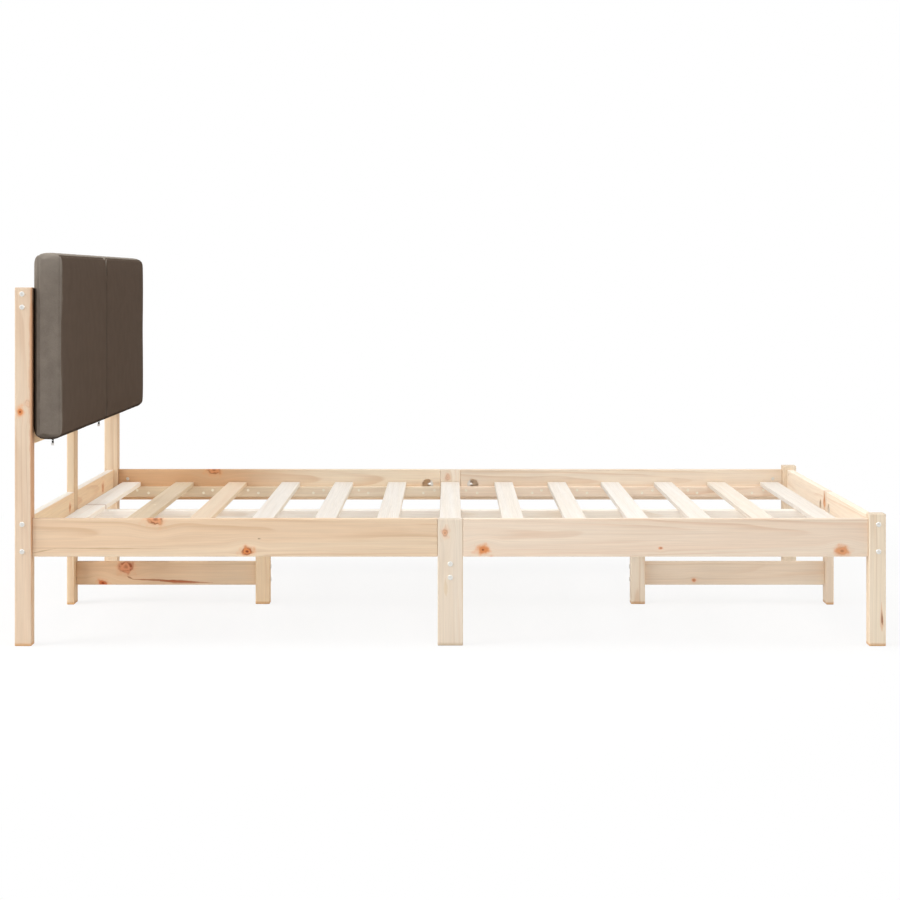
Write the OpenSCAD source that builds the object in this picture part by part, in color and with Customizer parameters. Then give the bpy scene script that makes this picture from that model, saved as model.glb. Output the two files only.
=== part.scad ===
// Pine double bed frame with a slatted base and two padded headboard cushions.
// X runs from the head (-X) to the foot (+X), Z is up, and the origin is on the floor at the middle.

/* [Mattress] */
// Length of the mattress, which sets the distance between the head and foot rails
mattress_length = 2000; // [1900:5:2200]
// Width of the mattress, which sets the distance between the side rails
mattress_width = 1400; // [1200:5:1600]

/* [Boards] */
// Thickness of the rails, planks, centre posts and stretchers
board_thickness = 20; // [18:0.5:26]
// Radius of the eased edges on posts and boards
edge_round = 2.5; // [1:0.25:4]
// Number of straight steps that make up one eased edge
edge_steps = 3; // [2:1:5]

/* [Posts] */
// Side of the square corner posts
post_size = 40; // [36:1:60]
// Distance from a post's outer face back to the rail beside it
rail_setback = 7.5; // [4:0.5:9]
// Height of the head posts
head_post_height = 846; // [800:1:940]
// How far the foot posts stand above the rails
foot_post_rise = 12; // [4:1:60]
// Width of the boards that stand between the rail halves
middle_post_width = 60; // [50:1:76]

/* [Rails] */
// Height of the rails' lower edge above the floor
rail_bottom = 210; // [190:1:240]
// Height of the side, head and foot rails
rail_height = 90; // [84:1:120]
// Distance between the two bolts at a side rail's corner
side_bolt_spread = 34; // [26:1:40]
// Distance between the two bolts at a head or foot rail's corner
cross_bolt_spread = 64; // [58:1:70]

/* [Headboard] */
// Height of the upper plank
top_plank_height = 60; // [54:1:80]
// Distance from the top of the head posts down to the upper plank
top_plank_drop = 1; // [0:0.5:20]
// Height of the lower plank's lower edge above the floor
low_plank_bottom = 470; // [450:1:480]
// Height of the lower plank
low_plank_height = 90; // [80:1:110]
// Distance between the two bolts at the upper plank's corner
plank_bolt_spread = 31; // [26:1:36]
// Diameter of the dowels
dowel_diameter = 8; // [6:1:10]
// Length of the dowels
dowel_length = 30; // [24:1:40]
// Distance between the two dowels at the upper plank's inner end
top_dowel_spread = 30; // [24:1:36]
// Distance between the two dowels at either end of the lower plank
low_dowel_spread = 50; // [40:1:60]

/* [Slats] */
// Number of slats
slat_count = 13; // [9:2:13]
// Width of a slat
slat_width = 55; // [40:1:70]
// Thickness of a slat
slat_thickness = 13; // [11:0.5:18]
// Distance from the head or foot rail to the middle of the nearest slat
slat_margin = 52; // [46:1:80]
// Distance from the rails' top down to the seat of the slats
slat_drop = 50; // [46:1:56]
// Gap between a slat's end and the side rail
slat_end_gap = 3; // [1:0.5:5]
// Gap at the middle of the slat that is in two halves
slat_seam = 1; // [0.5:0.5:3]
// Distance from a slat's end to its screw
slat_screw_inset = 10; // [8:0.5:12]

/* [Ledges] */
// Thickness of the ledges that carry the slats' ends
ledge_thickness = 20; // [18:0.5:24]
// Height of the ledges
ledge_height = 30; // [28:1:36]
// How far the foot half of a ledge reaches past the middle of the bed
ledge_overlap = 30; // [28:1:34]
// Screws in each row of a ledge half
ledge_screws = 6; // [4:2:6]
// Height of the lower row of screws above the ledge's lower edge
lower_screw_rise = 12; // [8:0.5:13]
// Height of the upper row of screws above the ledge's lower edge
upper_screw_rise = 20; // [17:0.5:22]
// Distance from the middle of the bed to the first screw of the lower row
lower_screw_start = 80; // [76:1:90]
// Distance between the screws of the lower row
lower_screw_pitch = 163; // [155:1:165]
// Distance from the middle of the bed to the first screw of the upper row
upper_screw_start = 47; // [44:1:50]
// Distance between the two screws of a pair in the upper row
upper_pair_gap = 224; // [215:1:226]
// Distance from one pair of the upper row to the next
upper_pair_pitch = 329; // [322:1:332]

/* [Middle frame] */
// Width of the centre beam under the slats
beam_width = 40; // [36:1:56]
// Height of the centre beam
beam_height = 43; // [40:1:52]
// Length of the half-lap where the two centre beams meet
lap_length = 60; // [40:1:70]
// Height of the cross beam that joins the side legs
cross_beam_height = 60; // [50:1:70]
// Distance between the two bolts at an end of the cross beam
beam_bolt_spread = 32; // [26:1:36]
// Side of the square legs under the centre beam
inner_leg_size = 38; // [34:1:50]
// Distance from the middle of the bed to the inner legs
inner_leg_place = 500; // [480:1:520]
// Height of the stretchers' lower edge above the floor
stretcher_bottom = 49; // [40:1:70]
// Height of the stretchers
stretcher_height = 62; // [54:1:70]
// Distance between the two bolts at an end of a stretcher
stretcher_bolt_spread = 34; // [26:1:40]

/* [Cushions] */
// Height of the cushions' lower edge above the floor
cushion_bottom = 487; // [480:1:496]
// Height of a cushion
cushion_height = 440; // [430:1:460]
// Thickness of a cushion at its corners
cushion_thickness = 66; // [60:1:80]
// How far the front swells out at the middle
cushion_crown = 6; // [3:0.5:12]
// How far the sides draw in between the corners
cushion_draw = 2; // [0:0.5:4]
// Radius of the long edges, seen from the end
cushion_round = 23; // [18:1:26]
// Radius of the edges round a cushion's ends
cushion_end_round = 9; // [6:0.5:12]
// Gap between the two cushions
cushion_seam = 10; // [6:0.5:14]
// Distance from the head posts to the back of the cushions
cushion_back_gap = 1.5; // [0.5:0.5:4]
// Thickness of the cloth at the back of a cushion
cover_back = 2; // [1.5:0.25:3]
// Thickness of the board inside a cushion
panel_thickness = 12; // [10:0.5:15]
// Distance from a cushion's edges in to its foam and board
foam_margin = 19; // [17:0.5:26]
// Thickness of the padded front over the foam
cover_front = 10; // [8:0.5:14]
// Diameter of the spacers behind a cushion
spacer_diameter = 18; // [14:1:24]
// Distance from a cushion's end to its fixing screws
fixing_inset = 60; // [50:1:80]
// Height of the lower fixing screws above the lower plank's edge
low_fixing_rise = 60; // [56:1:70]

/* [Zips] */
// Length of a zip
zip_length = 560; // [480:1:570]
// Width of the slot that holds the zip's tape
zip_width = 12; // [10:0.5:16]
// Depth of the slot that holds the zip's tape
zip_depth = 4; // [3:0.5:6]
// Width of the closed teeth
teeth_width = 4; // [3:0.5:5]
// Distance from a cushion's near end to the slider
slider_inset = 84; // [70:1:100]
// Length of a slider
slider_length = 11; // [9:0.5:14]
// Width of a slider
slider_width = 9; // [8:0.5:10]
// Thickness of a slider
slider_thickness = 4; // [3:0.5:5]
// Width of a zip pull's tab
pull_width = 4.6; // [4.2:0.2:6]
// Thickness of a zip pull's tab
pull_thickness = 1.5; // [1.2:0.1:1.8]
// Distance from a zip pull's pin down to its metal end
pull_tab = 8; // [6:0.5:12]
// Width of a zip pull's end
pull_end_width = 7; // [6:0.5:9]
// Height of a zip pull's end
pull_end_height = 6; // [4:0.5:8]

/* [Fasteners] */
// Diameter of the connector bolts
bolt_diameter = 6; // [5:0.5:7]
// Diameter of a bolt's cap
bolt_cap_diameter = 12; // [11:0.5:14]
// Height of a bolt's cap
bolt_cap_height = 2.2; // [1.8:0.1:2.8]
// Across the flats of the socket in a bolt's cap
bolt_socket = 4; // [3:0.5:5]
// Diameter of the barrel nuts
barrel_diameter = 10; // [9:0.5:12]
// Length of the barrel nuts
barrel_length = 14; // [12:0.5:15]
// Distance from a board's end to its barrel nuts
barrel_inset = 27.5; // [24:0.5:32]
// Diameter of the studs through the middle posts
stud_diameter = 6; // [5:0.5:7]
// Radius of the round pockets in the rail halves
pocket_radius = 16.5; // [14:0.5:18]
// Distance from a rail's inner end to the middle of its pocket
pocket_inset = 37; // [34:0.5:42]
// Depth of the pockets
pocket_depth = 17; // [15:0.25:17.5]
// Distance from a pocket's middle to the flat of its half-moon washer
washer_flat = 8; // [7:0.5:9]
// Width of the half-moon washers across the board
washer_width = 12; // [10:0.5:13]
// Across the flats of the nuts on the studs
nut_size = 10; // [9:0.5:11]
// Height of the nuts on the studs
nut_height = 5; // [4:0.5:6]
// Diameter of the wood screws
screw_diameter = 4; // [3:0.5:4.5]
// Diameter of a wood screw's head
screw_head_diameter = 8; // [6:0.5:9]
// Length of the screws through slats
slat_screw_length = 30; // [26:1:36]
// Length of the screws through the ledges
ledge_screw_length = 35; // [30:1:36]
// Length of the screws through the centre beam into the cross beam
beam_screw_length = 70; // [60:1:80]
// Length of the screws through the centre beam into the inner legs
leg_screw_length = 80; // [70:1:90]
// Length of the screws through the planks into the cushions
cushion_screw_length = 45; // [43:0.5:47]

/* [Fits] */
// Clearance round bolts, studs, screws and dowels
hole_clearance = 0.2; // [0.1:0.05:0.4]
// Clearance between a thread and its nut, or a board and its pocket
fit_clearance = 0.1; // [0.05:0.05:0.2]
// Clearance between moving zip pieces
zip_clearance = 0.3; // [0.2:0.05:0.4]

/* [Hidden] */
$fn = 48;
cut = 1;
bevel = 0.8;

inner_x = mattress_length / 2;
inner_y = mattress_width / 2;
face_x = inner_x + board_thickness;
face_y = inner_y + board_thickness;
rail_x = inner_x + board_thickness / 2;
rail_y = inner_y + board_thickness / 2;
outer_x = face_x + rail_setback;
outer_y = face_y + rail_setback;
post_in_x = outer_x - post_size;
post_in_y = outer_y - post_size;

rail_top = rail_bottom + rail_height;
rail_middle = rail_bottom + rail_height / 2;
foot_post_height = rail_top + foot_post_rise;
top_plank_top = head_post_height - top_plank_drop;
top_plank_bottom = top_plank_top - top_plank_height;
top_plank_middle = top_plank_top - top_plank_height / 2;
low_plank_middle = low_plank_bottom + low_plank_height / 2;

slat_seat = rail_top - slat_drop;
slat_top = slat_seat + slat_thickness;
slat_half = inner_y - slat_end_gap;
slat_pitch = (mattress_length - 2 * slat_margin) / (slat_count - 1);
slat_screw_y = slat_half - slat_screw_inset;
middle_slat = (slat_count + 1) / 2;

ledge_bottom = slat_seat - ledge_height;
ledge_in_y = inner_y - ledge_thickness;

beam_bottom = slat_seat - beam_height;
beam_middle = slat_seat - beam_height / 2;
cross_beam_bottom = beam_bottom - cross_beam_height;
cross_beam_middle = beam_bottom - cross_beam_height / 2;
stretcher_middle = stretcher_bottom + stretcher_height / 2;
stretcher_y = inner_leg_size / 2 - board_thickness / 2;
inner_leg_out = inner_leg_place + inner_leg_size / 2;
inner_leg_in = inner_leg_place - inner_leg_size / 2;
beam_screw_share = 0.3;
beam_screw_y = beam_width * beam_screw_share;

cushion_back = post_in_x - cushion_back_gap;
cushion_front = cushion_back - cushion_thickness;
cushion_in = cushion_seam / 2;
cushion_length = face_y - cushion_in;
cushion_middle_z = cushion_bottom + cushion_height / 2;
cushion_middle_y = (face_y + cushion_in) / 2;
panel_back = cushion_back - cover_back;
panel_front = panel_back - panel_thickness;
foam_front = cushion_front + cover_front;
foam_bottom = cushion_bottom + foam_margin;
foam_height = cushion_height - 2 * foam_margin;
low_fixing_z = low_plank_bottom + low_fixing_rise;
fixing_heights = [low_fixing_z, top_plank_middle];
fixing_places = [cushion_in + fixing_inset, face_y - fixing_inset];

zip_x = -(cushion_back + cushion_front) / 2;
zip_top = cushion_bottom + zip_depth;
zip_end_gap = 8;
slider_top = cushion_bottom - zip_clearance;
slider_bottom = slider_top - slider_thickness;
lug_width = 2;
lug_length = 4;
lug_height = 3.2;
pull_axis_z = slider_bottom - lug_height / 2;
pin_diameter = 1.2;

barrel_back = barrel_length / 2;
pocket_back = pocket_depth - board_thickness / 2;
stud_reach = middle_post_width / 2 + pocket_inset;
bolt_overrun = 3;
bolt_tail = barrel_diameter / 2 + bolt_overrun;
screw_head_depth = (screw_head_diameter - screw_diameter) / 2;

wood = "#e6ccae";
slat_wood = "#f3e3d2";
steel = "#dcdcda";
fabric = "#584a42";
nylon = "#f1efea";

function slat_name(i) = str("slat_", i < 10 ? "0" : "", i);

// Boards with eased edges

function quarter(center, radius, start, steps) =
    [for (k = [0:steps]) center + radius * [cos(start + 90 * k / steps), sin(start + 90 * k / steps)]];

function eased_outline(a, b, r) = concat(
    quarter([a - r, r], r, -90, edge_steps),
    quarter([a - r, b - r], r, 0, edge_steps),
    quarter([r, b - r], r, 90, edge_steps),
    quarter([r, r], r, 180, edge_steps)
);

module board(size, r = edge_round) {
    intersection() {
        linear_extrude(size.z) polygon(eased_outline(size.x, size.y, r));
        translate([0, size.y, 0]) rotate([90, 0, 0])
            linear_extrude(size.y) polygon(eased_outline(size.x, size.z, r));
        rotate([90, 0, 90])
            linear_extrude(size.x) polygon(eased_outline(size.y, size.z, r));
    }
}

// A board and a plain box between two corners, given in any order
function low_corner(a, b) = [for (k = [0:2]) min(a[k], b[k])];
function span(a, b) = [for (k = [0:2]) abs(a[k] - b[k])];

module board_between(a, b, r = edge_round) {
    translate(low_corner(a, b)) board(span(a, b), r);
}

module box_between(a, b) {
    translate(low_corner(a, b)) cube(span(a, b));
}

// Bolts: [seat of the cap, direction, distance to the barrel nut, side the nut's hole opens to,
// distance from the bolt to that side]

function pair(middle, spread) = [middle - spread / 2, middle + spread / 2];

function side_bolts(sx, sy) = [
    for (z = pair(rail_middle, side_bolt_spread))
        [[sx * outer_x, sy * rail_y, z], [-sx, 0, 0], post_size + barrel_inset, [0, -sy, 0], board_thickness / 2]
];
function cross_bolts(sx, sy) = [
    for (z = pair(rail_middle, cross_bolt_spread))
        [[sx * rail_x, sy * outer_y, z], [0, -sy, 0], post_size + barrel_inset, [-1, 0, 0], board_thickness / 2]
];
function plank_bolts(sy) = [
    for (z = pair(top_plank_middle, plank_bolt_spread))
        [[-rail_x, sy * outer_y, z], [0, -sy, 0], post_size + barrel_inset, [-1, 0, 0], board_thickness / 2]
];
function cross_beam_bolts(sy) = [
    for (z = pair(cross_beam_middle, beam_bolt_spread))
        [[0, sy * face_y, z], [0, -sy, 0], board_thickness + barrel_inset, [1, 0, 0], board_thickness / 2]
];
function center_beam_bolts(sx) = [
    [[sx * face_x, 0, beam_middle], [-sx, 0, 0], board_thickness + barrel_inset, [0, 0, -1], beam_height / 2]
];
function leg_bolts(sx) = [
    for (z = pair(stretcher_middle, stretcher_bolt_spread))
        [[sx * inner_leg_in, stretcher_y, z], [sx, 0, 0], inner_leg_size + barrel_inset, [0, 1, 0],
            board_thickness / 2]
];
function stretcher_bolts(sx) = [
    for (z = pair(stretcher_middle, stretcher_bolt_spread))
        [[sx * face_x, stretcher_y, z], [-sx, 0, 0], board_thickness + barrel_inset, [0, 1, 0],
            board_thickness / 2]
];

sides = [-1, 1];
all_bolts = concat(
    [for (sx = sides, sy = sides) each side_bolts(sx, sy)],
    [for (sx = sides, sy = sides) each cross_bolts(sx, sy)],
    [for (sy = sides) each plank_bolts(sy)],
    [for (sy = sides) each cross_beam_bolts(sy)],
    [for (sx = sides) each center_beam_bolts(sx)],
    [for (sx = sides) each leg_bolts(sx)],
    [for (sx = sides) each stretcher_bolts(sx)]
);

// Turns the Z axis to a direction
module aim(at, direction) {
    translate(at) rotate([0, acos(direction.z), atan2(direction.y, direction.x)]) children();
}

module bolt(b) {
    length = b[2] + bolt_tail;
    cap = bolt_cap_diameter / 2;
    shank = bolt_diameter / 2;
    aim(b[0], b[1]) difference() {
        rotate_extrude() polygon([
            [0, -bolt_cap_height], [cap - bevel, -bolt_cap_height], [cap, bevel - bolt_cap_height],
            [cap, 0], [shank, 0], [shank, length - bevel], [shank - bevel, length], [0, length]
        ]);
        translate([0, 0, -bolt_cap_height - cut])
            cylinder(h = bolt_cap_height + cut, d = bolt_socket / cos(30), $fn = 6);
    }
}

module bolt_holes(bolts) {
    for (b = bolts) {
        aim(b[0] - cut * b[1], b[1])
            cylinder(h = cut + b[2] + bolt_tail + hole_clearance, d = bolt_diameter + 2 * hole_clearance);
    }
}

module barrel_holes(bolts) {
    for (b = bolts) {
        aim(b[0] + b[2] * b[1], b[3]) translate([0, 0, -barrel_back - fit_clearance])
            cylinder(h = barrel_back + fit_clearance + b[4] + cut, d = barrel_diameter + 2 * fit_clearance);
    }
}

module barrel_nut(b) {
    difference() {
        aim(b[0] + b[2] * b[1], b[3]) difference() {
            translate([0, 0, -barrel_back]) cylinder(h = barrel_length, d = barrel_diameter);
            translate([0, 0, barrel_back]) cube([barrel_diameter + cut, bevel * 2, bevel * 2], center = true);
        }
        aim(b[0] - cut * b[1], b[1])
            cylinder(h = b[2] + 2 * bolt_tail, d = bolt_diameter + 2 * fit_clearance);
    }
}

// Studs through the middle posts: [middle, direction, side the pockets open to]

function side_stud(sy) = [[0, sy * rail_y, rail_middle], [1, 0, 0], [0, -sy, 0]];
function end_stud(sx) = [[sx * rail_x, 0, rail_middle], [0, 1, 0], [-1, 0, 0]];
all_studs = concat([for (sy = sides) side_stud(sy)], [for (sx = sides) end_stud(sx)]);

module stud(s, diameter = stud_diameter, past = 0) {
    aim(s[0] - (stud_reach + past) * s[1], s[1])
        cylinder(h = 2 * (stud_reach + past), d = diameter);
}

module stud_hole(s) {
    stud(s, stud_diameter + 2 * hole_clearance, hole_clearance);
}

// A pocket's own frame: X points to the joint, Z to the open side
module in_pocket(s, end) {
    x = -end * s[1];
    z = s[2];
    y = cross(z, x);
    at = s[0] + end * stud_reach * s[1];
    multmatrix([
        [x.x, y.x, z.x, at.x],
        [x.y, y.y, z.y, at.y],
        [x.z, y.z, z.z, at.z]
    ]) children();
}

module pocket(s, end) {
    in_pocket(s, end) translate([0, 0, -pocket_back])
        cylinder(h = pocket_back + board_thickness / 2 + cut, r = pocket_radius);
}

module half_moon_washer() {
    difference() {
        intersection() {
            cylinder(h = washer_width, r = pocket_radius - fit_clearance, center = true);
            translate([washer_flat, -pocket_radius, -washer_width / 2])
                cube([pocket_radius, 2 * pocket_radius, washer_width]);
        }
        rotate([0, 90, 0]) cylinder(h = 2 * pocket_radius, d = stud_diameter + 2 * hole_clearance);
    }
}

module stud_nut() {
    translate([washer_flat - nut_height, 0, 0]) rotate([0, 90, 0]) difference() {
        cylinder(h = nut_height, d = nut_size / cos(30), $fn = 6);
        translate([0, 0, -cut]) cylinder(h = nut_height + 2 * cut, d = stud_diameter + 2 * fit_clearance);
    }
}

// Wood screws: [middle of the head, direction, length]

function lower_row() = [for (k = [0:ledge_screws - 1]) lower_screw_start + k * lower_screw_pitch];
function upper_row() = [
    for (k = [0:ledge_screws - 1])
        upper_screw_start + floor(k / 2) * upper_pair_pitch + (k % 2) * upper_pair_gap
];
function ledge_screw_list(sx, sy) = concat(
    [for (x = lower_row()) [[sx * x, sy * ledge_in_y, ledge_bottom + lower_screw_rise],
        [0, sy, 0], ledge_screw_length]],
    [for (x = upper_row()) [[sx * x, sy * ledge_in_y, ledge_bottom + upper_screw_rise],
        [0, sy, 0], ledge_screw_length]]
);
function slat_x(i) = (i - middle_slat) * slat_pitch;
function slat_screw_places(i) = i == 1
    ? [-slat_screw_y, -beam_screw_y, beam_screw_y, slat_screw_y]
    : [-slat_screw_y, 0, slat_screw_y];
function slat_screw_list(i) = [
    for (y = slat_screw_places(i)) [[slat_x(i), y, slat_top], [0, 0, -1], slat_screw_length]
];
all_slat_screws = [for (i = [1:slat_count]) each slat_screw_list(i)];
cross_beam_screws = [
    for (sy = sides) [[0, sy * beam_screw_y, slat_seat], [0, 0, -1], beam_screw_length]
];
function leg_screws(sx) = [[[sx * inner_leg_place, 0, slat_seat], [0, 0, -1], leg_screw_length]];
function cushion_screws(sy, heights) = [
    for (y = fixing_places, z = heights) [[-face_x, sy * y, z], [1, 0, 0], cushion_screw_length]
];
all_screws = concat(
    [for (sx = sides, sy = sides) each ledge_screw_list(sx, sy)],
    all_slat_screws,
    cross_beam_screws,
    [for (sx = sides) each leg_screws(sx)],
    [for (sy = sides) each cushion_screws(sy, fixing_heights)]
);

module screw(s) {
    head = screw_head_diameter / 2;
    shank = screw_diameter / 2;
    aim(s[0], s[1]) difference() {
        rotate_extrude() polygon([
            [0, fit_clearance], [head, fit_clearance], [shank, screw_head_depth + fit_clearance],
            [shank, s[2] - 2 * shank], [0, s[2]]
        ]);
        cube([screw_diameter, bevel, 2 * bevel], center = true);
        cube([bevel, screw_diameter, 2 * bevel], center = true);
    }
}

module screw_holes(list) {
    head = screw_head_diameter / 2 + hole_clearance;
    shank = screw_diameter / 2 + hole_clearance;
    for (s = list) {
        aim(s[0], s[1]) rotate_extrude() polygon([
            [0, -cut], [head, -cut], [head, 0], [shank, screw_head_depth + fit_clearance],
            [shank, s[2] + hole_clearance], [0, s[2] + hole_clearance]
        ]);
    }
}

// Dowels: [middle, direction]

function plank_end_dowels(sy, y, middle, spread) = [
    for (z = pair(middle, spread)) [[-rail_x, sy * y, z], [0, 1, 0]]
];
function post_dowels(sy) = plank_end_dowels(sy, post_in_y, low_plank_middle, low_dowel_spread);
function low_dowels(sy) = plank_end_dowels(sy, middle_post_width / 2, low_plank_middle, low_dowel_spread);
function top_dowels(sy) = plank_end_dowels(sy, middle_post_width / 2, top_plank_middle, top_dowel_spread);
all_dowels = [for (sy = sides) each concat(post_dowels(sy), low_dowels(sy), top_dowels(sy))];

module dowel_set(list, clearance = 0) {
    length = dowel_length + 2 * clearance;
    for (d = list) {
        aim(d[0] - length / 2 * d[1], d[1]) cylinder(h = length, d = dowel_diameter + 2 * clearance);
    }
}

// Posts and legs

module corner_post(sx, sy, height) {
    color(wood) difference() {
        board_between([sx * post_in_x, sy * post_in_y, 0], [sx * outer_x, sy * outer_y, height]);
        bolt_holes(side_bolts(sx, sy));
        bolt_holes(cross_bolts(sx, sy));
        if (sx < 0) {
            bolt_holes(plank_bolts(sy));
            dowel_set(post_dowels(sy), hole_clearance);
        }
    }
}

module head_post_near() { corner_post(-1, -1, head_post_height); }
module head_post_far() { corner_post(-1, 1, head_post_height); }
module foot_post_near() { corner_post(1, -1, foot_post_height); }
module foot_post_far() { corner_post(1, 1, foot_post_height); }

module center_post(sx, height) {
    half = middle_post_width / 2;
    color(wood) difference() {
        board_between([sx * inner_x, -half, 0], [sx * face_x, half, height]);
        bolt_holes(center_beam_bolts(sx));
        bolt_holes(stretcher_bolts(sx));
        stud_hole(end_stud(sx));
        if (sx < 0) {
            for (sy = sides) {
                dowel_set(low_dowels(sy), hole_clearance);
                dowel_set(top_dowels(sy), hole_clearance);
            }
        }
    }
}

module head_center_post() { center_post(-1, head_post_height); }
module foot_center_post() { center_post(1, rail_top); }

module side_leg(sy) {
    half = middle_post_width / 2;
    color(wood) difference() {
        board_between([-half, sy * inner_y, 0], [half, sy * face_y, rail_top]);
        bolt_holes(cross_beam_bolts(sy));
        stud_hole(side_stud(sy));
    }
}

module side_leg_near() { side_leg(-1); }
module side_leg_far() { side_leg(1); }

// Rails and planks

module side_rail(sx, sy) {
    half = middle_post_width / 2;
    color(wood) difference() {
        board_between([sx * half, sy * inner_y, rail_bottom], [sx * post_in_x, sy * face_y, rail_top]);
        bolt_holes(side_bolts(sx, sy));
        barrel_holes(side_bolts(sx, sy));
        stud_hole(side_stud(sy));
        pocket(side_stud(sy), sx);
        screw_holes(ledge_screw_list(sx, sy));
    }
}

module side_rail_near_head() { side_rail(-1, -1); }
module side_rail_near_foot() { side_rail(1, -1); }
module side_rail_far_head() { side_rail(-1, 1); }
module side_rail_far_foot() { side_rail(1, 1); }

module cross_rail(sx, sy) {
    half = middle_post_width / 2;
    color(wood) difference() {
        board_between([sx * inner_x, sy * half, rail_bottom], [sx * face_x, sy * post_in_y, rail_top]);
        bolt_holes(cross_bolts(sx, sy));
        barrel_holes(cross_bolts(sx, sy));
        stud_hole(end_stud(sx));
        pocket(end_stud(sx), sy);
    }
}

module head_rail_near() { cross_rail(-1, -1); }
module head_rail_far() { cross_rail(-1, 1); }
module foot_rail_near() { cross_rail(1, -1); }
module foot_rail_far() { cross_rail(1, 1); }

module head_plank(sy, bottom, top) {
    board_between([-inner_x, sy * middle_post_width / 2, bottom], [-face_x, sy * post_in_y, top]);
}

module head_top_plank(sy) {
    color(wood) difference() {
        head_plank(sy, top_plank_bottom, top_plank_top);
        bolt_holes(plank_bolts(sy));
        barrel_holes(plank_bolts(sy));
        dowel_set(top_dowels(sy), hole_clearance);
        screw_holes(cushion_screws(sy, [top_plank_middle]));
    }
}

module head_top_plank_near() { head_top_plank(-1); }
module head_top_plank_far() { head_top_plank(1); }

module head_low_plank(sy) {
    color(wood) difference() {
        head_plank(sy, low_plank_bottom, low_plank_bottom + low_plank_height);
        dowel_set(post_dowels(sy), hole_clearance);
        dowel_set(low_dowels(sy), hole_clearance);
        screw_holes(cushion_screws(sy, [low_fixing_z]));
    }
}

module head_low_plank_near() { head_low_plank(-1); }
module head_low_plank_far() { head_low_plank(1); }

// Slats and what carries them

module slat_ledge(sx, sy) {
    start = -ledge_overlap;
    half_slats = [for (i = [1:slat_count]) if (sx < 0 ? slat_x(i) < start : slat_x(i) > start) i];
    color(wood) difference() {
        board_between([start, sy * ledge_in_y, ledge_bottom], [sx * post_in_x, sy * inner_y, slat_seat]);
        screw_holes(ledge_screw_list(sx, sy));
        for (i = half_slats) {
            s = slat_screw_list(i);
            screw_holes([sy < 0 ? s[0] : s[len(s) - 1]]);
        }
    }
}

module slat_ledge_near_head() { slat_ledge(-1, -1); }
module slat_ledge_near_foot() { slat_ledge(1, -1); }
module slat_ledge_far_head() { slat_ledge(-1, 1); }
module slat_ledge_far_foot() { slat_ledge(1, 1); }

module slat(i) {
    x = slat_x(i);
    left = x - slat_width / 2;
    right = x + slat_width / 2;
    color(slat_wood) difference() {
        if (i == 1) {
            for (sy = sides) {
                board_between([left, sy * slat_seam / 2, slat_seat], [right, sy * slat_half, slat_top]);
            }
        } else {
            board_between([left, -slat_half, slat_seat], [right, slat_half, slat_top]);
        }
        screw_holes(slat_screw_list(i));
    }
}

module center_beam(sx) {
    half = beam_width / 2;
    lap = lap_length / 2;
    lap_low = sx < 0 ? beam_bottom : beam_middle;
    lap_high = sx < 0 ? beam_middle : slat_seat;
    held = [for (i = [1:slat_count]) if (sx * slat_x(i) > lap || (sx > 0 && i == middle_slat)) i];
    color(wood) difference() {
        union() {
            difference() {
                board_between([-sx * lap, -half, beam_bottom], [sx * inner_x, half, slat_seat]);
                box_between([-sx * (lap + cut), -half - cut, beam_bottom - cut],
                    [sx * lap, half + cut, slat_seat + cut]);
            }
            box_between([-sx * lap, edge_round - half, lap_low], [sx * lap, half - edge_round, lap_high]);
        }
        bolt_holes(center_beam_bolts(sx));
        barrel_holes(center_beam_bolts(sx));
        screw_holes(cross_beam_screws);
        screw_holes(leg_screws(sx));
        for (i = held) {
            screw_holes([for (s = slat_screw_list(i)) if (abs(s[0].y) < half) s]);
        }
    }
}

module center_beam_head() { center_beam(-1); }
module center_beam_foot() { center_beam(1); }

module cross_beam() {
    half = board_thickness / 2;
    color(wood) difference() {
        board_between([-half, -inner_y, cross_beam_bottom], [half, inner_y, beam_bottom]);
        for (sy = sides) {
            bolt_holes(cross_beam_bolts(sy));
            barrel_holes(cross_beam_bolts(sy));
        }
        screw_holes(cross_beam_screws);
    }
}

module inner_leg(sx) {
    half = inner_leg_size / 2;
    color(wood) difference() {
        board_between([sx * inner_leg_in, -half, 0], [sx * inner_leg_out, half, beam_bottom]);
        bolt_holes(leg_bolts(sx));
        screw_holes(leg_screws(sx));
    }
}

module inner_leg_head() { inner_leg(-1); }
module inner_leg_foot() { inner_leg(1); }

module stretcher(sx) {
    half = board_thickness / 2;
    color(wood) difference() {
        board_between([sx * inner_leg_out, stretcher_y - half, stretcher_bottom],
            [sx * inner_x, stretcher_y + half, stretcher_bottom + stretcher_height]);
        bolt_holes(leg_bolts(sx));
        barrel_holes(leg_bolts(sx));
        bolt_holes(stretcher_bolts(sx));
        barrel_holes(stretcher_bolts(sx));
    }
}

module stretcher_head() { stretcher(-1); }
module stretcher_foot() { stretcher(1); }

// Cushions: a rounded section that shrinks towards both ends and swells at the front

corner_steps = 5;
front_steps = 8;
end_steps = 3;
length_steps = 10;

function between(a, b, steps) = steps < 2 ? [] : [for (k = [1:steps - 1]) a + (b - a) * k / steps];

function section(inset) =
    let (
        u = cushion_thickness / 2 - cushion_round,
        w = cushion_height / 2 - cushion_round,
        r = cushion_round - inset
    )
    concat(
        quarter([u, -w], r, -90, corner_steps),
        between([u + r, -w], [u + r, w], front_steps),
        quarter([u, w], r, 0, corner_steps),
        between([u, w + r], [-u, w + r], 2),
        quarter([-u, w], r, 90, corner_steps),
        between([-u - r, w], [-u - r, -w], 2),
        quarter([-u, -w], r, 180, corner_steps),
        between([-u, -w - r], [u, -w - r], 2)
    );

// How full the cushion is, from 0 at an edge to 1 at the middle
function fullness(t) = 1 - pow(abs(t), 3);

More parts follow.
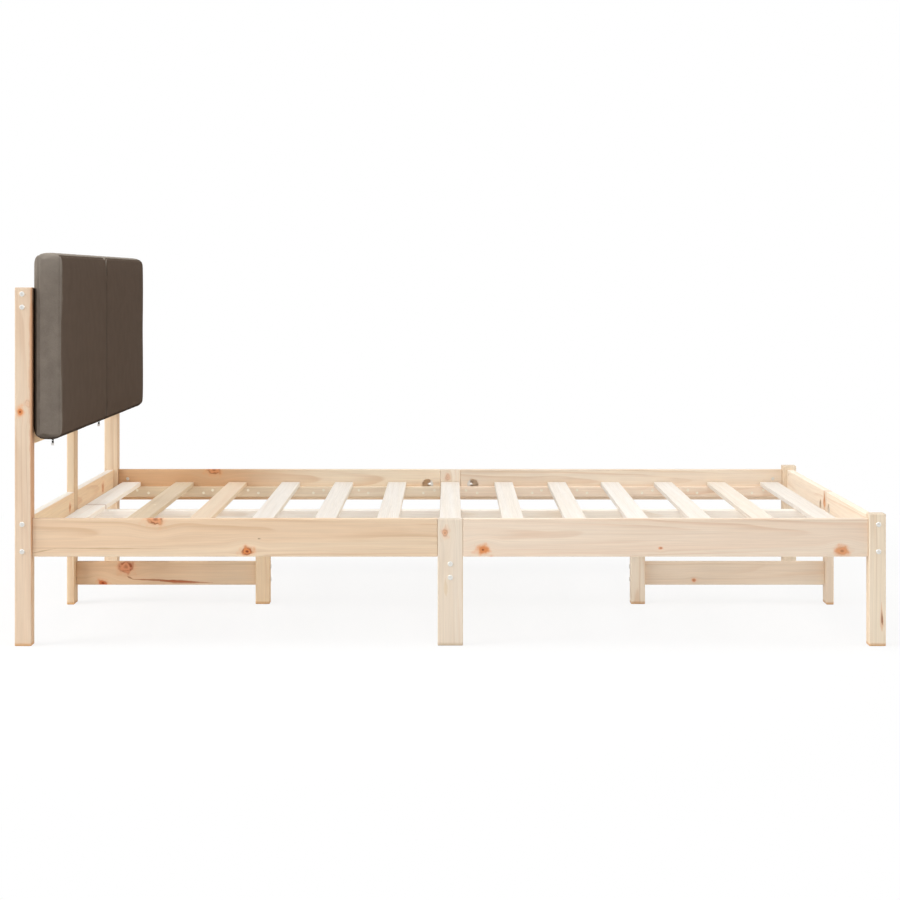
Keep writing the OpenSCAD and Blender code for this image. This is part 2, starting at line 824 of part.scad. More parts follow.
// A point of the section at v along the cushion, swelled at the front and drawn in at the sides
function padded_point(p, v) =
    let (
        half_u = cushion_thickness / 2,
        half_v = cushion_length / 2,
        half_w = cushion_height / 2,
        along = fullness(v / half_v),
        across = fullness(p.y / half_w),
        forward = (p.x + half_u) / cushion_thickness
    )
    [
        p.x + cushion_crown * along * across * forward,
        v - cushion_draw * across * pow(v / half_v, 3),
        p.y - cushion_draw * along * pow(p.y / half_w, 3)
    ];

ring_places = let (half = cushion_length / 2, r = cushion_end_round) concat(
    [for (k = [0:end_steps]) [-half + r * (1 - cos(90 * k / end_steps)), r * (1 - sin(90 * k / end_steps))]],
    [for (v = between(-half + r, half - r, length_steps)) [v, 0]],
    [for (k = [end_steps:-1:0]) [half - r * (1 - cos(90 * k / end_steps)), r * (1 - sin(90 * k / end_steps))]]
);

module cushion_shape() {
    rings = [for (place = ring_places) [for (p = section(place[1])) padded_point(p, place[0])]];
    n = len(rings[0]);
    last = len(rings) - 1;
    low_cap = padded_point([0, 0], ring_places[0][0]);
    high_cap = padded_point([0, 0], ring_places[last][0]);
    points = concat([for (ring = rings) each ring], [low_cap, high_cap]);
    walls = [
        for (k = [0:last - 1], j = [0:n - 1])
            let (a = k * n + j, b = k * n + (j + 1) % n)
                each [[a, a + n, b], [b, a + n, b + n]]
    ];
    low_faces = [for (j = [0:n - 1]) [(last + 1) * n, j, (j + 1) % n]];
    high_faces = [for (j = [0:n - 1]) [(last + 1) * n + 1, last * n + (j + 1) % n, last * n + j]];
    polyhedron(points = points, faces = concat(walls, low_faces, high_faces), convexity = 4);
}

module zip_box(sy, width, low, high, from, to) {
    start = sy < 0 ? -face_y : cushion_in;
    box_between([zip_x - width / 2, start + from, low], [zip_x + width / 2, start + to, high]);
}

zip_start = slider_inset - slider_length / 2 - zip_end_gap;

module cushion_cover(sy) {
    color(fabric) difference() {
        translate([-(cushion_back + cushion_front) / 2, sy * cushion_middle_y, cushion_middle_z])
            cushion_shape();
        foam_space(sy, panel_back, foam_front, 0);
        zip_box(sy, zip_width, cushion_bottom - cut, zip_top, zip_start, zip_start + zip_length);
        screw_holes(cushion_screws(sy, fixing_heights));
    }
}

module foam_space(sy, back, front, clearance) {
    from = cushion_in + foam_margin + clearance;
    to = face_y - foam_margin - clearance;
    box_between([-back + clearance, sy * from, foam_bottom + clearance],
        [-front - clearance, sy * to, foam_bottom + foam_height - clearance]);
}

module cushion_cover_near() { cushion_cover(-1); }
module cushion_cover_far() { cushion_cover(1); }

module cushion_foams() {
    color("#f2ecc8") for (sy = sides) foam_space(sy, panel_front, foam_front, fit_clearance);
}

module cushion_panels() {
    color(wood) difference() {
        for (sy = sides) foam_space(sy, panel_back, panel_front, fit_clearance);
        for (sy = sides) screw_holes(cushion_screws(sy, fixing_heights));
    }
}

module cushion_spacers() {
    length = inner_x - cushion_back - 2 * fit_clearance;
    color(nylon) for (sy = sides, y = fixing_places, z = fixing_heights) {
        translate([-inner_x + fit_clearance, sy * y, z]) rotate([0, 90, 0]) difference() {
            cylinder(h = length, d = spacer_diameter);
            translate([0, 0, -cut]) cylinder(h = length + 2 * cut, d = screw_diameter + 2 * hole_clearance);
        }
    }
}

// Zips

module zip_tapes() {
    color("#2a2624") for (sy = sides) {
        zip_box(sy, zip_width - 2 * fit_clearance, zip_top - zip_depth / 2, zip_top - fit_clearance,
            zip_start + fit_clearance, zip_start + zip_length - fit_clearance);
        zip_box(sy, teeth_width, cushion_bottom, zip_top - zip_depth / 2,
            zip_start + fit_clearance, zip_start + zip_length - fit_clearance);
    }
}

function slider_y(sy) = (sy < 0 ? -face_y : cushion_in) + slider_inset;

module zip_slider(sy) {
    y = slider_y(sy);
    color("#1d1b1a") {
        union() {
            board_between([zip_x - slider_width / 2, y - slider_length / 2, slider_bottom],
                [zip_x + slider_width / 2, y + slider_length / 2, slider_top], bevel);
            difference() {
                box_between([zip_x - lug_width / 2, y - lug_length / 2, slider_bottom - lug_height],
                    [zip_x + lug_width / 2, y + lug_length / 2, slider_bottom + bevel]);
                translate([zip_x - lug_width, y, pull_axis_z]) rotate([0, 90, 0])
                    cylinder(h = 2 * lug_width, d = pin_diameter + 2 * hole_clearance);
            }
        }
    }
}

module zip_slider_near() { zip_slider(-1); }
module zip_slider_far() { zip_slider(1); }

module zip_pull(sy) {
    y = slider_y(sy);
    arm_in = lug_width / 2 + zip_clearance;
    arm_out = pull_width / 2;
    swing = norm([lug_length / 2, lug_height / 2]) + zip_clearance;
    half = pull_thickness / 2;
    color("#1d1b1a") translate([zip_x, y, pull_axis_z]) {
        rotate([0, 90, 0]) cylinder(h = 2 * arm_out, d = pin_diameter, center = true);
        for (side = sides) {
            box_between([side * arm_in, -half, -swing - bevel], [side * arm_out, half, half]);
        }
        box_between([-arm_out, -half, -pull_tab - bevel], [arm_out, half, -swing]);
        board_between([-pull_end_width / 2, -pull_thickness, -pull_tab - pull_end_height],
            [pull_end_width / 2, pull_thickness, -pull_tab], bevel);
    }
}

module zip_pull_near() { zip_pull(-1); }
module zip_pull_far() { zip_pull(1); }

// Fasteners

module connector_bolts() {
    color(steel) for (b = all_bolts) bolt(b);
}

module barrel_nuts() {
    color(steel) for (b = all_bolts) barrel_nut(b);
}

module joint_studs() {
    color(steel) for (s = all_studs) stud(s);
}

module joint_nuts() {
    color(steel) for (s = all_studs, end = sides) in_pocket(s, end) {
        half_moon_washer();
        stud_nut();
    }
}

module wood_screws() {
    color(steel) for (s = all_screws) screw(s);
}

module dowels() {
    color("#dcb98f") dowel_set(all_dowels);
}

head_post_near();
head_post_far();
foot_post_near();
foot_post_far();
head_center_post();
foot_center_post();
side_leg_near();
side_leg_far();
side_rail_near_head();
side_rail_near_foot();
side_rail_far_head();
side_rail_far_foot();
head_rail_near();
head_rail_far();
foot_rail_near();
foot_rail_far();
head_top_plank_near();
head_top_plank_far();
head_low_plank_near();
head_low_plank_far();
slat_ledge_near_head();
slat_ledge_near_foot();
slat_ledge_far_head();
slat_ledge_far_foot();
cross_beam();
center_beam_head();
center_beam_foot();
inner_leg_head();
inner_leg_foot();
stretcher_head();
stretcher_foot();
cushion_cover_near();
cushion_cover_far();
cushion_foams();
cushion_panels();
cushion_spacers();
zip_tapes();
zip_slider_near();
zip_slider_far();
zip_pull_near();
zip_pull_far();
connector_bolts();
barrel_nuts();
joint_studs();
joint_nuts();
wood_screws();
dowels();
for (i = [1:slat_count]) {
    slat(i);
}
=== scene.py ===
import math

import bpy
from mathutils import Euler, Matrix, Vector, noise


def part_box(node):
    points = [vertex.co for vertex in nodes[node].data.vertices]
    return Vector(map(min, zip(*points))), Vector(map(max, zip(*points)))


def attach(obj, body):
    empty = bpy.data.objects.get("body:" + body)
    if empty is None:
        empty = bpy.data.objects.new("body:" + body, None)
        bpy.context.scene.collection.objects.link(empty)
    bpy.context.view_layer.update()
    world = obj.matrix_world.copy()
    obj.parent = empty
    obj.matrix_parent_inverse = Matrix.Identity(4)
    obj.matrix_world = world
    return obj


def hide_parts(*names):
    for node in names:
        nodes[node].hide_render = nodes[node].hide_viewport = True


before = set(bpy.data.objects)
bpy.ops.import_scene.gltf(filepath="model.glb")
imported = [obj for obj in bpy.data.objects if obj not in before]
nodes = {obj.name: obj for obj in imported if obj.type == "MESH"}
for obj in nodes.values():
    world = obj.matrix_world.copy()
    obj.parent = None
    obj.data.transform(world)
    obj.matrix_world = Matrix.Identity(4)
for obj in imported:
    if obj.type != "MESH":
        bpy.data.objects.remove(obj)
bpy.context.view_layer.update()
print("frame loaded:", len(nodes), "nodes")


# Colours and shader nodes

smooth = {"interpolation_type": "SMOOTHSTEP"}      # for a Map Range node that eases in and out
noiseMost = (0.3, 0.7)                             # a noise stays mostly within this range
noiseMiddle = (0.35, 0.65)


def srgb(hexText):
    channels = [int(hexText[i:i + 2], 16) / 255 for i in (1, 3, 5)]
    linear = [c / 12.92 if c <= 0.04045 else ((c + 0.055) / 1.055) ** 2.4 for c in channels]
    return (*linear, 1.0)


def addNode(tree, kind, inputs=(), **settings):
    # inputs is a list in the order of the node's sockets, or a dictionary by their names or numbers.
    # The colour sockets of a Mix node are 6 and 7, and its colour comes out of 2.
    node = tree.nodes.new(kind if kind.startswith("NodeGroup") else "ShaderNode" + kind)
    for name, value in settings.items():
        setattr(node, name, value)
    pairs = inputs.items() if isinstance(inputs, dict) else enumerate(inputs)
    for key, value in pairs:
        if isinstance(value, bpy.types.NodeSocket):
            tree.links.new(value, node.inputs[key])
        else:
            node.inputs[key].default_value = value
    return node.outputs


def newMaterial(name):
    material = bpy.data.materials.new(name)
    material.use_nodes = True
    material.node_tree.nodes.clear()
    return material, material.node_tree


def finishMaterial(tree, inputs):
    shader = addNode(tree, "BsdfPrincipled", inputs)
    addNode(tree, "OutputMaterial", [shader[0]])


# Camera: level, in front of the near side, with the horizon above the middle of the frame

cameraLook = {
    "place": (0.0, -6.1805, 0.8635),
    "focalPixels": 2312.6,      # focal length in pixels of the 900 pixel frame
    "framePixels": 900,
    "horizonRow": 280.0,
    "middleColumn": 450.3,
    "sensor": 36.0,
    "farthest": 200,
}


def makeCamera(look):
    data = bpy.data.cameras.new("camera")
    data.sensor_width = look["sensor"]
    data.lens = look["focalPixels"] / look["framePixels"] * look["sensor"]
    half = look["framePixels"] / 2
    data.shift_x = -(look["middleColumn"] - half) / look["framePixels"]
    data.shift_y = -(half - look["horizonRow"]) / look["framePixels"]
    data.clip_end = look["farthest"]
    camera = bpy.data.objects.new("camera", data)
    camera.location = look["place"]
    camera.rotation_euler = (math.radians(90), 0, 0)
    bpy.context.scene.collection.objects.link(camera)
    bpy.context.scene.camera = camera


makeCamera(cameraLook)
bpy.context.scene.view_settings.view_transform = "Standard"
print("camera placed")


# Studio: a white floor that fades to plain white, soft lamps, white surroundings

studio = {
    "floorSize": 60.0,
    "floorColour": "#f4f4f4",
    "fadeShape": (0.8, 1.0, 0.0),   # the fade reaches further along the bed than across it
    "fadeFrom": 1.2,            # metres from the bed's middle where the floor starts to turn plain white
    "fadeTo": 2.6,
    "shadowLoss": 0.8,          # share of plain white in the floor beside the bed, which softens the shadow
    "skyLight": 0.31,
    "lamps": [
        # name, place, aimed at, size, watts
        ("lampTop", (-0.8, -0.6, 5.2), (0.0, 0.0, 0.2), 5.0, 165),
        ("lampHead", (-6.0, -2.6, 3.2), (0.0, 0.0, 0.4), 3.5, 270),
        ("lampNear", (0.8, -6.5, 3.0), (0.0, 0.0, 0.3), 4.0, 36),
        ("lampFoot", (6.0, -1.0, 2.6), (0.0, 0.0, 0.4), 3.5, 125),
        ("lampBack", (0.5, 6.0, 3.0), (0.0, 0.0, 0.4), 4.0, 50),
    ],
}
plainWhite = (1.0, 1.0, 1.0, 1.0)


def addSeen(tree):
    # 1 for a ray that shows the backdrop itself, also in metal or through glass, 0 for one that lights the bed
    rays = addNode(tree, "LightPath")
    seen = addNode(tree, "Math", [rays["Is Camera Ray"], rays["Is Glossy Ray"]], operation="MAXIMUM")[0]
    return addNode(tree, "Math", [seen, rays["Is Transmission Ray"]], operation="MAXIMUM")[0]


def makeFloor(look):
    bpy.ops.mesh.primitive_plane_add(size=look["floorSize"], location=(0, 0, 0))
    floor = bpy.context.active_object
    floor.name = "floor"
    material, tree = newMaterial("floorPaper")
    place = addNode(tree, "TexCoord")["Object"]
    away = addNode(tree, "VectorMath", [place, look["fadeShape"]], operation="MULTIPLY")[0]
    away = addNode(tree, "VectorMath", [away], operation="LENGTH")["Value"]
    fade = [away, look["fadeFrom"], look["fadeTo"], look["shadowLoss"], 1.0]
    fade = addNode(tree, "MapRange", fade, **smooth)[0]
    plain = addNode(tree, "Math", [addSeen(tree), fade], operation="MULTIPLY")[0]
    paper = addNode(tree, "BsdfDiffuse", {"Color": srgb(look["floorColour"])})[0]
    white = addNode(tree, "Emission", {"Color": plainWhite, "Strength": 1.0})[0]
    mix = addNode(tree, "MixShader", [plain, paper, white])[0]
    addNode(tree, "OutputMaterial", [mix])
    floor.data.materials.append(material)


def makeSurroundings(look):
    world = bpy.data.worlds.new("surroundings")
    world.use_nodes = True
    tree = world.node_tree
    tree.nodes.clear()
    strength = addNode(tree, "MapRange", [addSeen(tree), 0.0, 1.0, look["skyLight"], 1.0])[0]
    sky = addNode(tree, "Background", {"Color": plainWhite, "Strength": strength})[0]
    addNode(tree, "OutputWorld", [sky])
    bpy.context.scene.world = world


def makeLamps(look):
    for name, place, target, size, watts in look["lamps"]:
        data = bpy.data.lights.new(name, "AREA")
        data.shape = "SQUARE"
        data.size = size
        data.energy = watts
        lamp = bpy.data.objects.new(name, data)
        lamp.location = place
        aim = Vector(target) - Vector(place)
        lamp.rotation_euler = aim.to_track_quat("-Z", "Y").to_euler()
        bpy.context.scene.collection.objects.link(lamp)


makeFloor(studio)
makeSurroundings(studio)
makeLamps(studio)
print("studio lit")


# Bare pine, planed and sanded: pale early wood, thin darker late wood, fine fibres and a few knots

def newGroup(name, inputs, outputs):
    tree = bpy.data.node_groups.new(name, "ShaderNodeTree")
    for direction, sockets in (("INPUT", inputs), ("OUTPUT", outputs)):
        for label, kind in sockets.items():
            tree.interface.new_socket(label, in_out=direction, socket_type="NodeSocket" + kind)
    return tree, addNode(tree, "NodeGroupInput")


pineGrain = {
    "warpScale": (0.8, 5.0, 5.0),        # slow bends of the rings, per metre along and across the board
    "warpReach": 0.011,                  # how far the rings wander, in metres
    "waveScale": (7.0, 45.0, 45.0),      # small waves of the lines, 140 mm long
    "waveReach": 0.0015,
    "bandScale": (0.35, 62.0, 0.0),      # bands of tone about 16 mm wide that follow the rings
    "lateFrom": 0.35,                    # part of a year's ring where the late wood starts
    "lateTo": 0.9,
    "fadeScale": (1.6, 26.0, 26.0),      # where the late wood shows strongly
    "fade": (0.42, 0.66, 0.12, 1.0),     # two values of that noise, and how much late wood shows at each
    "streakScale": (1.1, 210.0, 210.0),  # thin dark lines, 5 mm wide and 0.9 m long
    "streak": (0.63, 0.8),               # values of that noise where a line starts and is full
    "fineScale": (3.0, 230.0, 230.0),    # narrow streaks, about 4 mm wide
    "fibreScale": (14.0, 900.0, 900.0),  # fibres drawn 1.1 mm wide, coarser than real, so that they show
}


def makePineGroup(look):
    tree, given = newGroup(
        "pineFigure", {"Board": "Vector", "Pith": "Vector", "Spacing": "Float", "Seed": "Vector"},
        {"Band": "Float", "Late": "Float", "Streak": "Float", "Fine": "Float", "Fibre": "Float"})

    def grain(place, scale, detail, output="Fac"):
        spread = addNode(tree, "VectorMath", [place, scale, given["Seed"]], operation="MULTIPLY_ADD")[0]
        return addNode(tree, "TexNoise", {"Vector": spread, "Scale": 1.0, "Detail": detail})[output]

    board = given["Board"]
    for scale, reach in ((look["warpScale"], look["warpReach"]), (look["waveScale"], look["waveReach"])):
        bend = grain(board, scale, 1.0, "Color")
        bend = addNode(tree, "VectorMath", [bend, (0.5, 0.5, 0.5)], operation="SUBTRACT")[0]
        bend = [bend, (0.0, 2 * reach, 2 * reach), board]
        board = addNode(tree, "VectorMath", bend, operation="MULTIPLY_ADD")[0]
    across = addNode(tree, "VectorMath", [board, given["Pith"]], operation="SUBTRACT")[0]
    across = addNode(tree, "VectorMath", [across, (0.0, 1.0, 1.0)], operation="MULTIPLY")[0]
    radius = addNode(tree, "VectorMath", [across], operation="LENGTH")["Value"]
    along = addNode(tree, "SeparateXYZ", [board])["X"]
    ringPlace = addNode(tree, "CombineXYZ", [along, radius])[0]
    years = addNode(tree, "Math", [radius, given["Spacing"]], operation="DIVIDE")[0]
    part = addNode(tree, "Math", [years], operation="FRACT")[0]
    rise = addNode(tree, "MapRange", [part, look["lateFrom"], look["lateTo"]], **smooth)[0]
    fall = addNode(tree, "MapRange", [part, look["lateTo"], 1.0, 1.0, 0.0], **smooth)[0]
    shows = addNode(tree, "MapRange", [grain(board, look["fadeScale"], 1.0), *look["fade"]], **smooth)[0]
    late = addNode(tree, "Math", [rise, fall], operation="MULTIPLY")[0]
    streak = grain(board, look["streakScale"], 1.5)
    addNode(tree, "NodeGroupOutput", {
        "Band": grain(ringPlace, look["bandScale"], 4.0),
        "Late": addNode(tree, "Math", [late, shows], operation="MULTIPLY")[0],
        "Streak": addNode(tree, "MapRange", [streak, *look["streak"]], **smooth)[0],
        "Fine": grain(board, look["fineScale"], 2.0),
        "Fibre": grain(board, look["fibreScale"], 1.0),
    })
    return tree


knotShape = {
    "stretch": 0.74,       # a knot is longer along the board by 1 / stretch
    "unevenScale": 75.0,   # uneven outline, about 13 mm from lobe to lobe
    "uneven": 0.34,
    "flowPush": 0.66,      # how strongly the grain flows round the knot
    # Where each part fades, in radii of the knot
    "flow": (0.5, 5.5),
    "halo": (0.5, 2.3),
    "core": (0.65, 1.3),
    "heart": (0.1, 0.52),
    "rimStart": (0.55, 0.95),
    "rimEnd": (0.95, 1.35),
    "ringEnd": (0.6, 1.1),
    "rings": 8.0,          # radians of the rings' wave per radius, and how dark the rings are
    "ringShade": 0.16,
    "bark": (0.42, 0.58, 0.25, 1.0),     # the bark line round a knot comes and goes with the lobes
}


def makeKnotGroup(look):
    tree, given = newGroup(
        "knotFlow", {"Board": "Vector", "At": "Vector", "Radius": "Float", "Plane": "Vector"},
        {"Board": "Vector", "Core": "Float", "Heart": "Float", "Rim": "Float", "Halo": "Float"})
    board = given["Board"]
    away = addNode(tree, "VectorMath", [board, given["At"]], operation="SUBTRACT")[0]
    flat = addNode(tree, "VectorMath", [away, given["Plane"]], operation="MULTIPLY")[0]
    squeezed = addNode(tree, "VectorMath", [flat, (look["stretch"], 1.0, 1.0)], operation="MULTIPLY")[0]
    reach = addNode(tree, "VectorMath", [squeezed], operation="LENGTH")["Value"]
    even = addNode(tree, "Math", [reach, given["Radius"]], operation="DIVIDE")[0]
    lobe = addNode(tree, "TexNoise", {"Vector": board, "Scale": look["unevenScale"], "Detail": 3.0})["Fac"]
    uneven = addNode(tree, "MapRange", [lobe, *noiseMost, 1.0 - look["uneven"], 1.0 + look["uneven"]])[0]
    rough = addNode(tree, "Math", [even, uneven], operation="MULTIPLY")[0]

    push = addNode(tree, "MapRange", [even, *look["flow"], -look["flowPush"], 0.0], **smooth)[0]
    sideways = addNode(tree, "VectorMath", [flat, (0.0, 1.0, 1.0)], operation="MULTIPLY")[0]
    sideways = addNode(tree, "VectorMath", {0: sideways, "Scale": push}, operation="SCALE")[0]
    moved = addNode(tree, "VectorMath", [board, sideways], operation="ADD")[0]

    halo, core, heart, rimEnd = [
        addNode(tree, "MapRange", [rough, *look[part], 1.0, 0.0], **smooth)[0]
        for part in ("halo", "core", "heart", "rimEnd")]
    rimStart = addNode(tree, "MapRange", [rough, *look["rimStart"]], **smooth)[0]
    bark = addNode(tree, "MapRange", [lobe, *look["bark"]], **smooth)[0]
    rim = addNode(tree, "Math", [rimStart, rimEnd], operation="MULTIPLY")[0]
    rim = addNode(tree, "Math", [rim, bark], operation="MULTIPLY")[0]

    wave = addNode(tree, "Math", [rough, look["rings"]], operation="MULTIPLY")[0]
    wave = addNode(tree, "Math", [wave], operation="SINE")[0]
    rings = addNode(tree, "MapRange", [wave, -1.0, 1.0, 0.0, look["ringShade"]])[0]
    ringEnd = addNode(tree, "MapRange", [rough, *look["ringEnd"], 1.0, 0.0])[0]
    rings = addNode(tree, "Math", [rings, ringEnd], operation="MULTIPLY")[0]
    heart = addNode(tree, "Math", [heart, rings], operation="MAXIMUM")[0]
    addNode(tree, "NodeGroupOutput", {"Board": moved, "Core": core, "Heart": heart, "Rim": rim, "Halo": halo})
    return tree


resinShape = {
    "wanderScale": 30.0,   # the line's width changes every 33 mm or so
    "wander": (0.6, 1.4),  # least and most width
    # Thin at both ends, thickest a quarter of the way along: two places on the line, and the width at each
    "start": (0.0, 0.25, 0.25, 1.0),
    "end": (0.35, 1.0, 1.0, 0.12),
    "edge": (0.4, 1.3, 1.0, 0.0),        # the soft edge, in widths
}


def makeResinGroup(look):
    tree, given = newGroup(
        "resinLine", {"Board": "Vector", "From": "Vector", "To": "Vector", "Width": "Float", "Plane": "Vector"},
        {"Mark": "Float"})
    whole = addNode(tree, "VectorMath", [given["To"], given["From"]], operation="SUBTRACT")[0]
    local = addNode(tree, "VectorMath", [given["Board"], given["From"]], operation="SUBTRACT")[0]
    local = addNode(tree, "VectorMath", [local, given["Plane"]], operation="MULTIPLY")[0]
    travel = addNode(tree, "VectorMath", [local, whole], operation="DOT_PRODUCT")["Value"]
    length = addNode(tree, "VectorMath", [whole, whole], operation="DOT_PRODUCT")["Value"]
    share = addNode(tree, "Math", [travel, length], operation="DIVIDE")[0]
    share = addNode(tree, "Clamp", [share])[0]
    nearest = addNode(tree, "VectorMath", {0: whole, "Scale": share}, operation="SCALE")[0]
    off = addNode(tree, "VectorMath", [local, nearest], operation="SUBTRACT")[0]
    off = addNode(tree, "VectorMath", [off], operation="LENGTH")["Value"]
    wander = {"Vector": given["Board"], "Scale": look["wanderScale"], "Detail": 2.0}
    wander = addNode(tree, "TexNoise", wander)["Fac"]
    start = addNode(tree, "MapRange", [share, *look["start"]], **smooth)[0]
    end = addNode(tree, "MapRange", [share, *look["end"]], **smooth)[0]
    width = addNode(tree, "Math", [start, end], operation="MULTIPLY")[0]
    width = addNode(tree, "Math", [width, given["Width"]], operation="MULTIPLY")[0]
    wander = addNode(tree, "MapRange", [wander, *noiseMost, *look["wander"]])[0]
    width = addNode(tree, "Math", [width, wander], operation="MULTIPLY")[0]
    near = addNode(tree, "Math", [off, width], operation="DIVIDE")[0]
    addNode(tree, "NodeGroupOutput", {"Mark": addNode(tree, "MapRange", [near, *look["edge"]], **smooth)[0]})
    return tree


resinGroup = makeResinGroup(resinShape)
pineGroup = makePineGroup(pineGrain)
knotGroup = makeKnotGroup(knotShape)

# Turns that lay each grain direction along X
grainTurns = {"X": (0, 0, 0), "Y": (0, 0, -math.pi / 2), "Z": (0, math.pi / 2, 0)}

# Tones of bare pine, from nearly white sapwood to tan: pale early wood, warm bands, late wood
pineTones = {
    "white": ("#f2ebe2", "#ebe0d1", "#dcc6ab"),
    "pale": ("#f4e6d3", "#efd9c2", "#d8b592"),
    "cream": ("#efdfc8", "#e8cfb2", "#cfa780"),
    "peach": ("#f0dfcb", "#ecd1b9", "#d5aa86"),
    "honey": ("#edd7bb", "#e5c4a3", "#c99c70"),
    "rose": ("#eed8bf", "#e7c8ab", "#cba07c"),
    "pearl": ("#f4e9da", "#eedcc6", "#d9bb9b"),
    "apricot": ("#fae4c4", "#f7d8b4", "#d8a273"),
    "sand": ("#dcc7aa", "#d3b895", "#b39068"),
    "rust": ("#cba681", "#be926b", "#a06c46"),
    "tan": ("#dfbf9d", "#d2a883", "#ad7a52"),
}

plainPine = {
    "tone": "cream",
    "halo": "#e8a26a",
    "knot": "#dd8a52",
    "rim": "#94502c",
    "heart": "#7a2c10",
    "foot": "#d49a52",             # painted shade along the lower edge of a post or leg
    "footReach": (0.002, 0.009),   # metres above the floor between which it fades
    "footStrength": 0.75,
    "edge": (1.0, 0.955, 0.89),    # painted shade: what the face towards the foot of the bed keeps of the board's colour
    "rear": (1.0, 1.0, 1.0),       # painted shade: the same for the face towards the head of the bed
    "top": (1.0, 1.0, 1.0),        # painted highlight: the same for the upper face
    "turned": (0.5, 0.9),          # how far a surface faces that way, from none of it to all
    "endGrain": 0.84,              # what end grain keeps: it drinks the light
    "endTurned": (0.6, 0.95),
    "face": None,              # axis that the face with the marks looks along, if it isn't the thinnest
    "gain": 1.0,               # paler or darker board; where a board lies in shade, its gain also paints in light
    "pith": (0.075, 0.012),    # metres from the middle of the board to the heart of the log, across it
    "tilt": (0.012, 0.006),    # metres that the heart moves across per metre along the board
    "spacing": 0.0046,         # width of a year's ring
    "seedSteps": (3.7, 5.3, 1.9),
    "bandSpan": (0.36, 0.66),
    "bands": 0.9,              # strength of each part of the figure
    "lateWood": 0.42,
    "streaks": 0.45,
    "fineShade": (1.04, 0.96),
    "fibreShade": (1.03, 0.97),
    "drift": None,             # painted shade: where along the board, from its middle, a darker tone fades out, and which tone
    "knots": [],               # of each knot: place, radius, then strength of its halo, core and rim
    "resin": [],               # of each resin line: its two ends, width, strength and colour
    "butt": 0.0,               # half width of the painted shade line in the gap where two halves meet in the middle
    "buttStrength": 0.7,
    "roughness": (0.2, 0.8, 0.52, 0.7),  # two values of the fibres' noise, and the roughness at each
    "relief": 0.0005,
    "reliefStrength": 0.15,
    "ior": 1.45,
    "specular": 0.3,
}


def addMarks(tree, look, board, inBoard, plane):
    # Each mark is how much of it shows, its strength and its colour. A knot bends the grain round it as well.
    marks = []
    for start, end, width, strength, shade in look["resin"]:
        line = addNode(tree, "Group", {
            "Board": board, "From": inBoard(start), "To": inBoard(end), "Width": width, "Plane": plane,
        }, node_tree=resinGroup)
        marks.append((line["Mark"], strength, shade))
    for place, radius, halo, core, rim in look["knots"]:
        knot = addNode(tree, "Group", {
            "Board": board, "At": inBoard(place), "Radius": radius, "Plane": plane,
        }, node_tree=knotGroup)
        board = knot["Board"]
        marks += [(knot["Halo"], halo, look["halo"]), (knot["Core"], core, look["knot"]),
                  (knot["Rim"], rim, look["rim"]), (knot["Heart"], core, look["heart"])]
    return board, marks


def addWood(tree, look, figure, board):
    # The board's own colour, with a painted shade drift towards one end where it has one, before its marks, and
    # how dark the late wood and the streaks make it
    pale, warm, lateTone = [srgb(shade) for shade in pineTones[look["tone"]]]
    band = addNode(tree, "MapRange", [figure["Band"], *look["bandSpan"], 0.0, look["bands"]])[0]
    colour = addNode(tree, "Mix", {0: band, 6: pale, 7: warm}, data_type="RGBA")[2]
    # painted shade: towards one end the board turns to a darker tone
    if look["drift"]:
        start, end, tone = look["drift"]
        pale, warm = [srgb(shade) for shade in pineTones[tone][:2]]
        along = addNode(tree, "SeparateXYZ", [board])["X"]
        fading = addNode(tree, "MapRange", [along, start, end, 1.0, 0.0], **smooth)[0]
        darker = addNode(tree, "Mix", {0: band, 6: pale, 7: warm}, data_type="RGBA")[2]
        colour = addNode(tree, "Mix", {0: fading, 6: colour, 7: darker}, data_type="RGBA")[2]
    late = addNode(tree, "Math", [figure["Late"], look["lateWood"]], operation="MULTIPLY")[0]
    streak = addNode(tree, "Math", [figure["Streak"], look["streaks"]], operation="MULTIPLY")[0]
    dark = addNode(tree, "Math", [late, streak], operation="MAXIMUM")[0]
    colour = addNode(tree, "Mix", {0: dark, 6: colour, 7: lateTone}, data_type="RGBA")[2]
    fine = addNode(tree, "MapRange", [figure["Fine"], *noiseMost, *look["fineShade"]])[0]
    fibre = addNode(tree, "MapRange", [figure["Fibre"], *noiseMost, *look["fibreShade"]])[0]
    shade = addNode(tree, "Math", [fine, fibre], operation="MULTIPLY")[0]
    shade = addNode(tree, "Math", [shade, look["gain"]], operation="MULTIPLY")[0]
    return addNode(tree, "VectorMath", {0: colour, "Scale": shade}, operation="SCALE")[0], dark


# Painted light and shade: the faces towards the foot, the head and up each keep a set share of the colour, and
# end grain keeps less
def shadeFaces(tree, look, colour, normals, grain):
    start, full = look["turned"]
    for axis, out, keep in (("X", 1, look["edge"]), ("X", -1, look["rear"]), ("Z", 1, look["top"])):
        share = addNode(tree, "MapRange", [normals[axis], out * start, out * full])[0]
        keep = addNode(tree, "Mix", {0: share, 6: plainWhite, 7: (*keep, 1.0)}, data_type="RGBA")[2]
        colour = addNode(tree, "VectorMath", [colour, keep], operation="MULTIPLY")[0]
    facing = addNode(tree, "Math", [normals[grain]], operation="ABSOLUTE")[0]
    keep = addNode(tree, "MapRange", [facing, *look["endTurned"], 1.0, look["endGrain"]])[0]
    return addNode(tree, "VectorMath", {0: colour, "Scale": keep}, operation="SCALE")[0]


